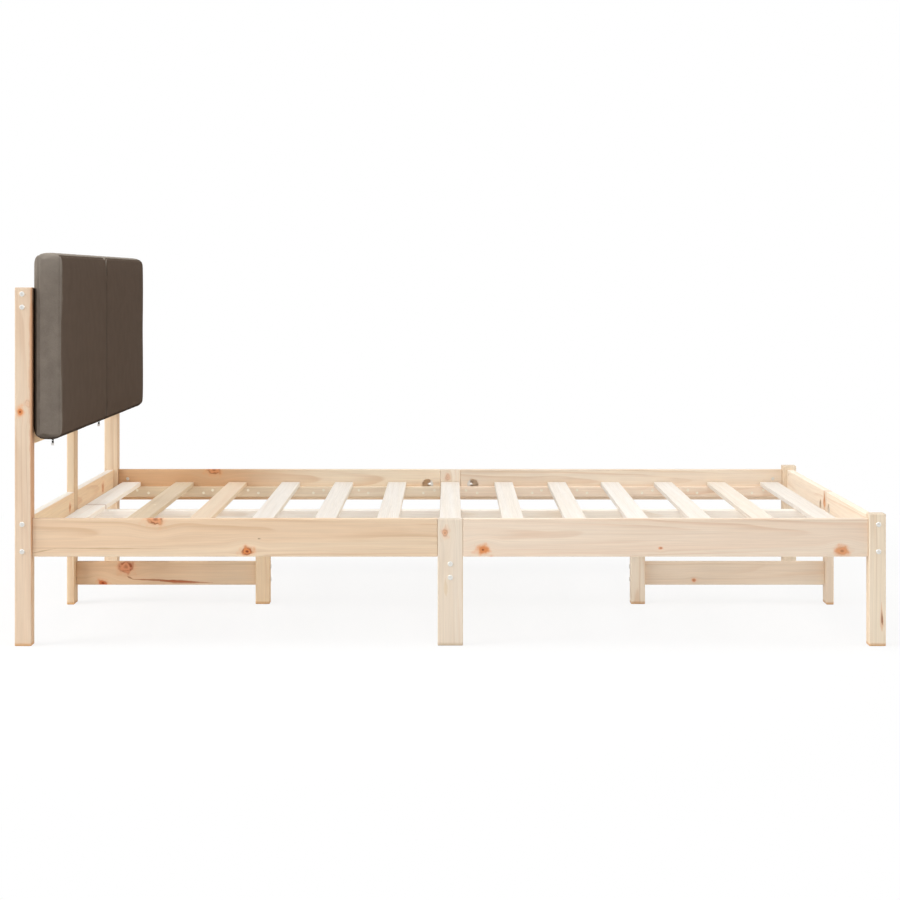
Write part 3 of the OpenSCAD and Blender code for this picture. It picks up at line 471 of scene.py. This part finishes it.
def pineMaterial(node, seed, **changes):
    look = {**plainPine, **changes}
    low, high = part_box(node)
    middle = (low + high) / 2
    size = sorted(zip(high - low, "XYZ"))
    grain, thin = size[2][1], look["face"] or size[0][1]
    turn = Euler(grainTurns[grain]).to_matrix()
    across = turn @ Vector([axis == thin for axis in "XYZ"])
    plane = [1.0 - abs(part) for part in across]
    material, tree = newMaterial("barePine_" + node)
    coords = addNode(tree, "TexCoord")
    straight = addNode(tree, "Mapping", {
        "Vector": coords["Object"], "Rotation": grainTurns[grain], "Location": -(turn @ middle),
    })[0]
    board, marks = addMarks(tree, look, straight, lambda place: turn @ (Vector(place) - middle), plane)

    along = addNode(tree, "SeparateXYZ", [board])["X"]
    lean = addNode(tree, "VectorMath", {0: (1.0, *look["tilt"]), "Scale": along}, operation="SCALE")[0]
    pith = addNode(tree, "VectorMath", [lean, (0.0, *look["pith"])], operation="ADD")[0]
    shift = [seed * step for step in look["seedSteps"]]
    figure = addNode(tree, "Group", {
        "Board": board, "Pith": pith, "Spacing": look["spacing"], "Seed": shift,
    }, node_tree=pineGroup)
    colour, dark = addWood(tree, look, figure, board)

    if low.z < 0.001:      # it stands on the floor
        height = addNode(tree, "SeparateXYZ", [coords["Object"]])["Z"]
        # painted shade: a darker band along the lowest few millimetres
        foot = addNode(tree, "MapRange", [height, *look["footReach"], 1.0, 0.0])[0]
        marks.append((foot, look["footStrength"], look["foot"]))
    # painted shade in the gap where the two halves meet
    if look["butt"]:
        away = addNode(tree, "SeparateXYZ", [straight])["X"]
        away = addNode(tree, "Math", [away], operation="ABSOLUTE")[0]
        butt = addNode(tree, "MapRange", [away, 0.0, look["butt"], 1.0, 0.0])[0]
        marks.append((butt, look["buttStrength"], look["rim"]))
    for shows, strength, shade in marks:
        cover = addNode(tree, "Math", [shows, strength], operation="MULTIPLY")[0]
        colour = addNode(tree, "Mix", {0: cover, 6: colour, 7: srgb(shade)}, data_type="RGBA")[2]
    normals = addNode(tree, "SeparateXYZ", [coords["Normal"]])
    colour = shadeFaces(tree, look, colour, normals, grain)

    relief = addNode(tree, "Math", [figure["Fibre"], dark], operation="SUBTRACT")[0]
    bump = {"Strength": look["reliefStrength"], "Distance": look["relief"], "Height": relief}
    finishMaterial(tree, {
        "Base Color": colour, "Normal": addNode(tree, "Bump", bump)[0],
        "Roughness": addNode(tree, "MapRange", [figure["Fibre"], *look["roughness"]])[0],
        "IOR": look["ior"], "Specular IOR Level": look["specular"],
    })
    return material


def dress(node, material):
    for slot in nodes[node].material_slots:
        slot.material = material


slatPine = {"tone": "white", "bands": 0.6, "lateWood": 0.26, "streaks": 0.25}      # slats are cut from sapwood
uprightPine = {"edge": (0.93, 0.84, 0.73)}                                         # posts and legs: stronger painted shade on the face towards the foot
# head rails: a bright tone that paints in light on their shaded face towards the foot, painted shade on the face
# towards the head, and a painted highlight on the top
headRailPine = {"tone": "apricot", "rear": (0.93, 0.92, 0.92), "top": (1.05, 1.22, 1.55)}
# foot rails: a paler tone and more gain, partly the boards' own tone and partly painted light on their inner
# faces
footRailPine = {"tone": "pale", "gain": 1.1, "bands": 0.5}

boardLooks = {
    "side_rail_near_head": {
        "seed": 1, "tone": "honey", "gain": 0.98,
        "knots": [((-0.480, -0.72, 0.2225), 0.0085, 0.6, 1.0, 0.8),
                  ((-0.697, -0.72, 0.2985), 0.012, 0.45, 0.55, 0.85)],
        "resin": [((-0.990, -0.72, 0.2180), (-0.930, -0.72, 0.2300), 0.0022, 0.5, "#b08a5c"),
                  ((-0.935, -0.72, 0.2300), (-0.640, -0.72, 0.2290), 0.0016, 0.5, "#b89064"),
                  ((-0.4550, -0.72, 0.2527), (-0.4460, -0.72, 0.2525), 0.0013, 0.7, "#86664a")],
    },
    "side_rail_near_foot": {
        "seed": 2, "tone": "peach",
        "knots": [((0.077, -0.72, 0.2265), 0.008, 0.95, 0.85, 0.0),
                  ((0.095, -0.72, 0.2145), 0.0035, 0.5, 0.7, 0.0),
                  ((0.4975, -0.72, 0.2307), 0.003, 0.15, 0.7, 0.0),
                  ((0.925, -0.72, 0.2236), 0.009, 0.8, 0.45, 0.2)],
    },
    # its drift is painted shade towards the head end, under the headboard
    "side_rail_far_head": {
        "seed": 3, "tone": "cream", "gain": 1.15, "drift": (-0.22, 0.2, "rust"),
        "knots": [((-0.703, 0.70, 0.298), 0.012, 0.5, 0.5, 0.7)],
    },
    "side_rail_far_foot": {"seed": 4, "tone": "pale"},
    "head_post_near": {
        "seed": 5, "tone": "rose", "gain": 0.92, "face": "Y",
        "knots": [((-1.0146, -0.7275, 0.5523), 0.0066, 0.9, 0.95, 0.0),
                  ((-1.000, -0.7275, 0.572), 0.006, 0.2, 0.05, 0.3)],
        "resin": [((-0.9890, -0.7275, 0.9), (-0.9885, -0.7275, 0.1), 0.0045, 0.6, "#cf9468")],
    },
    "foot_post_near": {
        "seed": 9, "tone": "cream", "gain": 1.02, "face": "Y",
        "resin": [((1.0180, -0.7275, 0.036), (1.0165, -0.7275, 0.104), 0.0045, 0.5, "#dfa676"),
                  ((1.0185, -0.7275, 0.050), (1.0175, -0.7275, 0.086), 0.0022, 0.85, "#8c4a26")],
    },
    "side_leg_near": {
        "seed": 6, "tone": "pearl", "gain": 0.95, "foot": "#cbb495",
        "knots": [((-0.0125, -0.72, 0.266), 0.0065, 0.35, 0.3, 0.3)],
        "resin": [((-0.0125, -0.72, 0.262), (-0.0115, -0.72, 0.286), 0.0060, 0.5, "#e2bc9c"),
                  ((-0.0100, -0.72, 0.118), (-0.0120, -0.72, 0.160), 0.0060, 0.45, "#dcc298")],
    },
    # its drift is painted shade towards the head end, under the headboard
    "stretcher_head": {
        "seed": 7, "tone": "honey", "drift": (-0.2, 0.3, "tan"),
        "halo": "#dd8a5a", "knot": "#cc7142", "rim": "#8e3f20",
        "knots": [((-0.8667, -0.001, 0.0965), 0.013, 0.4, 0.45, 0.9),
                  ((-0.928, -0.001, 0.0555), 0.0075, 0.7, 1.0, 0.3)],
        "resin": [((-0.8630, -0.001, 0.0715), (-0.8470, -0.001, 0.0638), 0.0028, 0.7, "#8f5233"),
                  ((-0.8500, -0.001, 0.0640), (-0.6900, -0.001, 0.0585), 0.0026, 0.75, "#a5562f"),
                  ((-0.7750, -0.001, 0.0592), (-0.6340, -0.001, 0.0546), 0.0044, 0.85, "#a9552b")],
    },
    "stretcher_foot": {"seed": 8, "tone": "pale", "knots": [((0.651, -0.001, 0.0618), 0.0045, 0.3, 0.7, 0.0)]},
    # slat_01 lies in the cushions' shade: its gain paints in light, and its butt paints shade in the gap between
    # its halves
    "slat_01": {"seed": 61, "butt": 0.010, "bands": 0.3, "lateWood": 0.3, "gain": 1.15},
    "slat_02": {"seed": 62, "tone": "sand", "bands": 0.5},
    "slat_03": {"seed": 63, "tone": "honey", "bands": 0.4},
    "slat_12": {"seed": 72, "tone": "pearl", "gain": 0.98},
    # its drift is painted shade towards the head end, under the headboard
    "slat_ledge_far_head": {"seed": 81, "tone": "cream", "gain": 1.07, "drift": (-0.25, 0.25, "sand")},
    "slat_ledge_far_foot": {"seed": 82, "tone": "peach", "gain": 1.09},
    "head_rail_near": {"seed": 83, **headRailPine, "knots": [((-1.0, -0.0995, 0.264), 0.008, 0.7, 0.4, 0.4)]},
    "head_rail_far": {"seed": 84, **headRailPine, "knots": [((-1.0, 0.476, 0.266), 0.011, 0.7, 0.3, 0.6)]},
    # painted light: a brighter orange tone and gain for the warm glow under the cushion, with painted shade on
    # its face towards the foot
    "head_low_plank_near": {"seed": 44, "tone": "apricot", "gain": 1.04, "edge": (1.0, 0.9, 0.76)},
    "head_center_post": {"seed": 85, "tone": "apricot", "gain": 0.9},
    "head_post_far": {"seed": 94, "tone": "honey", "face": "Y"},
    "foot_post_far": {"seed": 95, "tone": "cream", "face": "Y"},
    "foot_center_post": {
        "seed": 86, "tone": "pale", "face": "X", "endGrain": 1.0,
        "resin": [((1.0, 0.004, 0.255), (1.0, 0.000, 0.302), 0.0200, 0.85, "#df9c66"),
                  ((1.0, 0.004, 0.268), (1.0, 0.000, 0.292), 0.0080, 0.6, "#9a5a34")],
    },
    # the centre beams lie in shade under the slats: their gain paints in light
    "center_beam_head": {"seed": 87, "tone": "white", "gain": 1.12},
    "center_beam_foot": {"seed": 88, "tone": "white", "gain": 1.1},
    "side_leg_far": {
        "seed": 89, "tone": "pearl", "gain": 1.11, "knots": [((-0.0085, 0.70, 0.276), 0.006, 0.3, 0.15, 0.3)],
    },
    "inner_leg_head": {"seed": 90, "tone": "apricot", "gain": 0.97},
    "inner_leg_foot": {"seed": 91, "tone": "pale", "gain": 1.05},
    "foot_rail_near": {"seed": 92, **footRailPine},
    "foot_rail_far": {"seed": 93, **footRailPine},
}
woodWords = ("post", "leg", "rail", "plank", "ledge", "beam", "stretcher", "slat_")
firstSeed = 20             # of the boards that have none of their own

woodNodes = sorted(name for name in nodes if any(word in name for word in woodWords))
for place, name in enumerate(woodNodes):
    changes = dict(boardLooks.get(name, {}))
    seed = changes.pop("seed", firstSeed + place)
    if name[-2:].isdigit():        # slat_01 to slat_13
        changes = {**slatPine, **changes}
    if "post" in name or "leg" in name:
        changes = {**uprightPine, **changes}
    dress(name, pineMaterial(name, seed, **changes))
print("pine finished:", len(woodNodes), "boards")


# Small fittings

fittingFinish = {
    "detail": 3.0,
    "roughSpread": 0.08,       # roughness varies this much to each side
    "reliefStrength": 0.4,
}


def plainMaterial(name, shade, darker, scale, roughness, metallic=0.0, relief=0.0):
    # scale is patches or grains per metre, relief their height in metres
    look = fittingFinish
    material, tree = newMaterial(name)
    place = addNode(tree, "TexCoord")["Object"]
    grain = addNode(tree, "TexNoise", {"Vector": place, "Scale": scale, "Detail": look["detail"]})["Fac"]
    share = addNode(tree, "MapRange", [grain, *noiseMiddle])[0]
    spread = (roughness - look["roughSpread"], roughness + look["roughSpread"])
    inputs = {
        "Base Color": addNode(tree, "Mix", {0: share, 6: srgb(shade), 7: srgb(darker)}, data_type="RGBA")[2],
        "Roughness": addNode(tree, "MapRange", [grain, *noiseMost, *spread])[0],
        "Metallic": metallic,
    }
    if relief:
        bump = {"Strength": look["reliefStrength"], "Distance": relief, "Height": grain}
        inputs["Normal"] = addNode(tree, "Bump", bump)[0]
    finishMaterial(tree, inputs)
    return material


# Steel with a bright nickel plating: a clear but softened mirror with faint cloudy patches
nickelSteel = plainMaterial("nickelPlatedSteel", "#e9e7e3", "#d9d7d2", scale=380, roughness=0.38, metallic=0.85)
# Steel with yellow zinc plating, as on wood screws: warmer and duller than nickel
yellowZinc = plainMaterial("yellowZincSteel", "#fdf4e4", "#f5e9d2", scale=380, roughness=0.5, metallic=0.4)
# Nylon 6, injection moulded: milky white, satin
mouldedNylon = plainMaterial("mouldedNylon", "#f1efe9", "#e9e6de", scale=300, roughness=0.42, relief=0.0001)
# Polyester zip tape with spiral teeth, dyed black: dull and ribbed
zipTape = plainMaterial("blackZipTape", "#1d1c1b", "#2b2927", scale=900, roughness=0.75, relief=0.0002)
# Die-cast zinc, lacquered black: smooth, with a soft gloss
blackLacquer = plainMaterial("blackLacqueredZinc", "#161515", "#201f1e", scale=500, roughness=0.35)
# Polyurethane foam, cut from a block: open cells about 1 mm across
cutFoam = plainMaterial("cutFoam", "#efe6c8", "#d9cda6", scale=900, roughness=0.95, relief=0.0006)
# Fibreboard, pressed: even brown with fine fibres
fibreboard = plainMaterial("pressedFibreboard", "#b08a63", "#9c7650", scale=500, roughness=0.8, relief=0.0001)
# Beech dowel, turned and fluted: pinkish brown with short dark flecks
turnedBeech = plainMaterial("turnedBeech", "#d9b08a", "#c2946c", scale=420, roughness=0.6, relief=0.0001)

for name, material in {
    "connector_bolts": nickelSteel, "barrel_nuts": nickelSteel, "joint_studs": nickelSteel,
    "joint_nuts": nickelSteel, "wood_screws": yellowZinc, "dowels": turnedBeech, "cushion_spacers": mouldedNylon,
    "cushion_foams": cutFoam, "cushion_panels": fibreboard, "zip_tapes": zipTape,
    "zip_slider_near": blackLacquer, "zip_slider_far": blackLacquer,
}.items():
    dress(name, material)

# Zip pull: a tab of black thermoplastic rubber, satin, with a polished nickel end
pullLook = {
    "rubber": "#0c0c0c",
    "nickel": "#e2e0dc",
    "border": (0.4734, 0.4736),    # heights between which the metal ends and the rubber starts
    "roughness": (0.25, 0.75),     # of the metal and of the rubber
    "grainScale": 900.0,
    "grain": 0.1,                  # roughness that the grain adds
}


def pullMaterial(look):
    material, tree = newMaterial("rubberAndNickelPull")
    place = addNode(tree, "TexCoord")["Object"]
    height = addNode(tree, "SeparateXYZ", [place])["Z"]
    metal = addNode(tree, "MapRange", [height, *look["border"], 1.0, 0.0])[0]
    matt = addNode(tree, "MapRange", [height, *look["border"], *look["roughness"]])[0]
    grain = addNode(tree, "TexNoise", {"Vector": place, "Scale": look["grainScale"], "Detail": 2.0})["Fac"]
    shades = {0: metal, 6: srgb(look["rubber"]), 7: srgb(look["nickel"])}
    finishMaterial(tree, {
        "Base Color": addNode(tree, "Mix", shades, data_type="RGBA")[2],
        "Metallic": metal,
        "Roughness": addNode(tree, "Math", [grain, look["grain"], matt], operation="MULTIPLY_ADD")[0],
    })
    return material


for name in ("zip_pull_near", "zip_pull_far"):
    dress(name, pullMaterial(pullLook))
print("fittings finished")


# Headboard cushions: foam in a zipped cover, blown up by a cloth simulation, then sewn

cushionLook = {
    "covers": {"cushionNear": "cushion_cover_near", "cushionFar": "cushion_cover_far"},
    "startInset": (0.0, 0.0012, -0.0004),   # the pad starts smaller than the cover, because it swells
    "crown": 0.0015,           # the front starts this far back from the crown
    "cornerRound": 0.015,      # corners of the front's outline
    "cornerSegments": 6,
    "frontRound": 0.006,       # rounding round the front and round the back
    "backRound": 0.010,
    "rimSegments": 5,
    "innerCornerRound": 0.029,   # corners of the outline where the two cushions meet
    "longRoundFront": 0.0245,    # fuller rounding of the upper and lower edges
    "longRoundBack": 0.027,
    "innerRound": 0.016,       # rounding of the front and back edges where the cushions meet
    "outerBackRound": 0.018,   # rounding of the back edge at the outer end
    "voxel": 0.006,
    "pressure": 3.0,
    "lastFrame": 20,
    "mostSwell": (0.0035, 0.002, 0.0018),    # cap on how far a point may move
    "frontFacing": 0.9,        # the front is what faces forward by more than this
    "smoothing": 24,           # rounds of smoothing that take the ripples out of the front
    "frontSeam": 0.0070,       # distance of the sewn seams from the front and from the back
    "backSeam": 0.013,
    "seamHeld": 0.004,         # the foam's edge holds the cover this far to each side of a seam
    "seamDepth": 0.0012,
    "seamHalf": 0.0016,        # half width of a seam's groove
    "seamSteps": (-2, -1, 0, 1, 2),          # cuts that give each groove its points, in half widths
    "seamReach": 6,            # half widths to each side that the seam draws in or puffs up
    "pucker": 0.0006,          # height of the puckers along a seam
    "puckerWidth": 3,          # in half widths
    "rippleScale": (40, 75),   # puckers about 13 mm long, and a different run of them on each seam
    "rippleShare": 0.35,       # how much the groove's depth varies with them
    "zipMiddleX": -0.953,
    "zipHalfWidth": 0.0062,
    "zipInside": 0.98,         # share of that width that counts as the opening for the tape
    "zipFloor": 0.4908,
    "zipEnds": (0.078, 0.652),     # |Y| where the zip starts and ends
    "undersideBelow": 0.5,
    "lowest": 0.4872,          # the slider needs the room below
    "sliderRoom": 0.013,       # this far to each side of the zip
}


def editMesh(piece, mode):
    bpy.ops.object.select_all(action="DESELECT")
    piece.select_set(True)
    bpy.context.view_layer.objects.active = piece
    bpy.ops.object.mode_set(mode="EDIT")
    bpy.ops.mesh.select_mode(type=mode)
    bpy.ops.mesh.select_all(action="DESELECT")


def selectWhere(piece, parts, test):
    bpy.ops.mesh.select_all(action="DESELECT")
    bpy.ops.object.mode_set(mode="OBJECT")
    for part in getattr(piece.data, parts):
        part.select = test(part)
    bpy.ops.object.mode_set(mode="EDIT")


def roundEdge(mesh, first, second, radius):
    # first and second are the two faces that meet there: axis, place along it, outward direction
    (axisA, placeA, outA), (axisB, placeB, outB) = first, second
    for v in mesh.vertices:
        a = (v.co[axisA] - placeA) * outA + radius
        b = (v.co[axisB] - placeB) * outB + radius
        away = math.hypot(a, b)
        if a > 0 and b > 0 and away > radius:
            v.co[axisA] = placeA + outA * (a * radius / away - radius)
            v.co[axisB] = placeB + outB * (b * radius / away - radius)


def makePadBlank(name, low, high, look):
    bpy.ops.object.select_all(action="DESELECT")
    bpy.ops.mesh.primitive_cube_add(size=1, location=(low + high) / 2, scale=high - low)
    pad = bpy.context.active_object
    pad.name = name
    bpy.ops.object.transform_apply(location=True, rotation=True, scale=True)
    mesh = pad.data
    halfThick = (high.x - low.x) / 2
    onRim = 1e-5

    def ends(edge):
        return sorted(mesh.vertices[i].co.x for i in edge.vertices)

    editMesh(pad, "EDGE")
    selectWhere(pad, "edges", lambda edge: ends(edge)[1] - ends(edge)[0] > halfThick)
    bpy.ops.mesh.bevel(offset=look["cornerRound"], segments=look["cornerSegments"], affect="EDGES")
    for rim, radius in ((high.x, look["frontRound"]), (low.x, look["backRound"])):
        selectWhere(pad, "edges", lambda edge: all(abs(x - rim) < onRim for x in ends(edge)))
        bpy.ops.mesh.bevel(offset=radius, segments=look["rimSegments"], affect="EDGES")
    bpy.ops.object.mode_set(mode="OBJECT")
    mesh.remesh_voxel_size = look["voxel"]
    bpy.ops.object.voxel_remesh()

    front, back = (0, high.x, 1), (0, low.x, -1)
    inner, outer = (1, high.y, 1), (1, low.y, -1)      # inner is the end towards the other cushion
    if low.y + high.y > 0:
        inner, outer = outer, inner
    for side in ((2, high.z, 1), (2, low.z, -1)):
        roundEdge(mesh, front, side, look["longRoundFront"])
        roundEdge(mesh, back, side, look["longRoundBack"])
        roundEdge(mesh, inner, side, look["innerCornerRound"])
    roundEdge(mesh, front, inner, look["innerRound"])
    roundEdge(mesh, back, inner, look["innerRound"])
    roundEdge(mesh, back, outer, look["outerBackRound"])
    return pad


def blowUp(pad, look, low, high):
    mesh = pad.data
    before = [v.co.copy() for v in mesh.vertices]
    held = pad.vertex_groups.new(name="held")
    seam = high.x - look["frontSeam"]
    for v in mesh.vertices:
        onSeam = abs(v.co.x - seam) < look["seamHeld"] or v.co.x < low.x + look["backSeam"] + look["seamHeld"]
        held.add([v.index], 1.0 if onSeam else 0.0, "REPLACE")
    bpy.ops.object.modifier_add(type="CLOTH")
    cloth = pad.modifiers[-1]
    settings = cloth.settings
    settings.quality = 5
    settings.mass = 0.25
    settings.tension_stiffness = settings.compression_stiffness = 40
    settings.shear_stiffness = 6
    settings.bending_stiffness = 1.0
    settings.shrink_min = -0.006       # the cover is cut a little large, so that it puckers at the seams
    settings.use_pressure = True
    settings.uniform_pressure_force = look["pressure"]
    settings.vertex_group_mass = "held"
    settings.effector_weights.gravity = 0
    cloth.collision_settings.use_self_collision = False
    cloth.point_cache.frame_start = 1
    cloth.point_cache.frame_end = look["lastFrame"]
    for moment in range(1, look["lastFrame"] + 1):
        bpy.context.scene.frame_set(moment)
    bpy.ops.object.modifier_apply(modifier=cloth.name)
    bpy.context.scene.frame_set(1)
    pad.vertex_groups.clear()
    for v, start in zip(mesh.vertices, before):
        move = v.co - start
        v.co = start + Vector([most * math.tanh(part / most) for part, most in zip(move, look["mostSwell"])])
    editMesh(pad, "VERT")
    selectWhere(pad, "vertices", lambda v: v.normal.x > look["frontFacing"])
    bpy.ops.mesh.vertices_smooth(factor=0.5, repeat=look["smoothing"])
    bpy.ops.object.mode_set(mode="OBJECT")
    print(pad.name, "blown up")


def sewCover(pad, look, low, high):
    seams = [high.x - look["frontSeam"], low.x + look["backSeam"]]
    cuts = [seam + step * look["seamHalf"] for seam in seams for step in look["seamSteps"]]
    cuts += [look["zipMiddleX"] - look["zipHalfWidth"], look["zipMiddleX"] + look["zipHalfWidth"]]
    editMesh(pad, "FACE")
    for cut in cuts:
        bpy.ops.mesh.select_all(action="SELECT")
        bpy.ops.mesh.bisect(plane_co=(cut, 0, 0), plane_no=(1, 0, 0))
    bpy.ops.object.mode_set(mode="OBJECT")
    mesh = pad.data
    perSeam, perMetre = look["rippleScale"]
    normals = [v.normal.copy() for v in mesh.vertices]
    for v, normal in zip(mesh.vertices, normals):
        side = math.hypot(normal.y, normal.z)
        for seam in seams:
            away = (v.co.x - seam) / look["seamHalf"]
            if abs(away) < look["seamReach"]:
                ripple = noise.noise(Vector((seam * perSeam, v.co.y * perMetre, v.co.z * perMetre)))
                groove = look["seamDepth"] * (1 + look["rippleShare"] * ripple) * math.exp(-away * away)
                puff = look["pucker"] * ripple * math.exp(-(away / look["puckerWidth"]) ** 2)
                v.co -= normal * side * (groove + puff)
        alongZip = look["zipEnds"][0] < abs(v.co.y) < look["zipEnds"][1]
        if v.co.z < look["undersideBelow"] and alongZip:
            fromZip = abs(v.co.x - look["zipMiddleX"])
            if fromZip < look["zipHalfWidth"] * look["zipInside"]:
                v.co.z = max(v.co.z, look["zipFloor"])
            elif fromZip < look["sliderRoom"]:
                v.co.z = max(v.co.z, look["lowest"])


def makeCushion(name, node, look):
    low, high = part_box(node)
    low = low + Vector(look["startInset"])
    high = high - Vector(look["startInset"]) - Vector((look["crown"], 0, 0))
    pad = makePadBlank(name, low, high, look)
    blowUp(pad, look, low, high)
    bpy.ops.object.modifier_add(type="SUBSURF")
    modifier = pad.modifiers[-1]
    modifier.levels = modifier.render_levels = 1
    bpy.ops.object.modifier_apply(modifier=modifier.name)
    sewCover(pad, look, low, high)
    bpy.ops.object.shade_smooth()
    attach(pad, "bed")
    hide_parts(node)
    print(name, "sewn:", len(pad.data.polygons), "faces")
    return pad


# Brushed polyester, woven and dyed taupe: dull, slightly mottled, no gloss. Its colour is painted by which way
# the surface
# faces: painted shade on the front, painted light on the border, a painted highlight along the upper parts, and
# dark painted shade below.
clothLook = {
    # the front's darker colours are painted shade, the border's lighter ones painted light
    "front": ("#5b4e44", "#5f5248"),
    "border": ("#70675e", "#81776d"),
    "paintedTopLight": "#aba398",         # painted highlight on the border's upward-facing and upper parts
    "paintedShade": "#2f2822",       # painted shade on the underside, the lower back and where the cushions meet
    "patchScale": 26.0,        # worn patches of nap, about 40 mm
    "patches": 0.6,            # share of the mottle that the patches make, and share of the nap
    "nap": 0.4,
    "napScale": 420.0,
    "threads": 0.0016,         # thread spacing drawn at twice the real 0.8 mm, so that it shows
    "weave": 0.3,              # height of the weave against the nap's
    "relief": 0.0004,
    "reliefStrength": 0.12,
    # Where one painted shading of the cloth ends and the next starts: two limits of how far the surface faces a
    # way, of the height or of the distance from the bed's middle. Two more numbers are how much shows at each
    # limit.
    "frontWrap": (0.71, 0.94),       # the front's painted shade ends, facing up, down or sideways
    "endWrap": (0.25, 0.66),         # the same at the outer ends
    "outerEnds": (0.5, 0.52),
    "backWrap": (0.05, 0.0),         # the border goes on round the back
    # painted highlight on the upper parts
    "topLightFacing": (0.1, 0.9, 0.0, 0.65),
    "topLightHeight": (0.86, 0.93, 0.0, 0.25),
    # painted shade on the underside and the lower back
    "undersideShade": (-0.25, -0.8, 0.0, 0.9),
    "lowBackShade": (-0.4, -0.8),
    "lowBackShadeTop": (0.843, 0.845, 1.0, 0.0),
    "meetingShade": (0.2, 0.6, 0.0, 0.3),           # painted shade where the cushions meet, below the notch
    "innerEnds": (0.03, 0.04, 1.0, 0.0),
    "notchBottom": (0.895, 0.905, 1.0, 0.0),
}


def clothMaterial(look):
    material, tree = newMaterial("brushedPolyester")
    coords = addNode(tree, "TexCoord")
    place = coords["Object"]
    patches = addNode(tree, "TexNoise", {"Vector": place, "Scale": look["patchScale"], "Detail": 3.0})["Fac"]
    nap = addNode(tree, "TexNoise", {"Vector": place, "Scale": look["napScale"], "Detail": 2.0})["Fac"]
    patchy = addNode(tree, "MapRange", [patches, *noiseMiddle, 0.0, look["patches"]])[0]
    rubbed = addNode(tree, "MapRange", [nap, *noiseMost, 0.0, look["nap"]])[0]
    mottle = addNode(tree, "Math", [patchy, rubbed], operation="ADD")[0]
    # painted shade on the front and painted light on the border, chosen below by which way the surface faces
    border, front = [
        addNode(tree, "Mix", {0: mottle, 6: srgb(look[panel][0]), 7: srgb(look[panel][1])}, data_type="RGBA")[2]
        for panel in ("border", "front")]

    normals = addNode(tree, "SeparateXYZ", [coords["Normal"]])
    forward, upward = normals["X"], normals["Z"]
    sideways = addNode(tree, "Math", [normals["Y"]], operation="ABSOLUTE")[0]
    upOrDown = addNode(tree, "Math", [upward], operation="ABSOLUTE")[0]
    spot = addNode(tree, "SeparateXYZ", [place])
    height = spot["Z"]
    fromMiddle = addNode(tree, "Math", [spot["Y"]], operation="ABSOLUTE")[0]

    ends = addNode(tree, "MapRange", [sideways, *look["endWrap"]])[0]
    outerEnds = addNode(tree, "MapRange", [fromMiddle, *look["outerEnds"]])[0]
    ends = addNode(tree, "Math", [ends, outerEnds], operation="MULTIPLY")[0]
    wraps = [addNode(tree, "MapRange", [way, *look["frontWrap"]])[0] for way in (sideways, upOrDown)]
    wraps.append(addNode(tree, "MapRange", [forward, *look["backWrap"]])[0])
    for wrap in wraps:
        ends = addNode(tree, "Math", [ends, wrap], operation="MAXIMUM")[0]
    # painted highlight on the upward-facing and upper parts of the border
    topLightFacing = addNode(tree, "MapRange", [upward, *look["topLightFacing"]])[0]
    topLightHeight = addNode(tree, "MapRange", [height, *look["topLightHeight"]])[0]
    paintedTopLight = addNode(tree, "Math", [topLightFacing, topLightHeight], operation="MAXIMUM")[0]
    border = addNode(tree, "Mix", {0: paintedTopLight, 6: border, 7: srgb(look["paintedTopLight"])}, data_type="RGBA")[2]
    colour = addNode(tree, "Mix", {0: ends, 6: front, 7: border}, data_type="RGBA")[2]

    # painted shade: the underside, the lower back and the valley where the cushions meet
    back = addNode(tree, "MapRange", [forward, *look["lowBackShade"]])[0]
    lowBackShadeTop = addNode(tree, "MapRange", [height, *look["lowBackShadeTop"]])[0]
    back = addNode(tree, "Math", [back, lowBackShadeTop], operation="MULTIPLY")[0]
    meeting = addNode(tree, "MapRange", [sideways, *look["meetingShade"]])[0]
    innerEnds = addNode(tree, "MapRange", [fromMiddle, *look["innerEnds"]])[0]
    meeting = addNode(tree, "Math", [meeting, innerEnds], operation="MULTIPLY")[0]
    notchBottom = addNode(tree, "MapRange", [height, *look["notchBottom"]])[0]
    meeting = addNode(tree, "Math", [meeting, notchBottom], operation="MULTIPLY")[0]
    shadeShare = addNode(tree, "MapRange", [upward, *look["undersideShade"]])[0]
    for more in (back, meeting):
        shadeShare = addNode(tree, "Math", [shadeShare, more], operation="MAXIMUM")[0]
    colour = addNode(tree, "Mix", {0: shadeShare, 6: colour, 7: srgb(look["paintedShade"])}, data_type="RGBA")[2]

    pitch = math.tau / look["threads"]
    turns = addNode(tree, "VectorMath", [place, (pitch, pitch, pitch)], operation="MULTIPLY")[0]
    turns = addNode(tree, "SeparateXYZ", [turns])
    waves = [addNode(tree, "Math", [turns[axis]], operation="SINE")[0] for axis in "XYZ"]
    weave = addNode(tree, "Math", [waves[0], waves[1]], operation="ADD")[0]
    weave = addNode(tree, "Math", [weave, waves[2]], operation="MULTIPLY")[0]
    relief = addNode(tree, "Math", [weave, look["weave"], nap], operation="MULTIPLY_ADD")[0]
    bump = {"Strength": look["reliefStrength"], "Distance": look["relief"], "Height": relief}
    finishMaterial(tree, {
        "Base Color": colour, "Normal": addNode(tree, "Bump", bump)[0],
        "Roughness": 1.0, "Specular IOR Level": 0.0,
    })
    return material


brushedPolyester = clothMaterial(clothLook)
for name, node in cushionLook["covers"].items():
    cushion = makeCushion(name, node, cushionLook)
    cushion.data.materials.clear()
    cushion.data.materials.append(brushedPolyester)
print("cushions sewn")
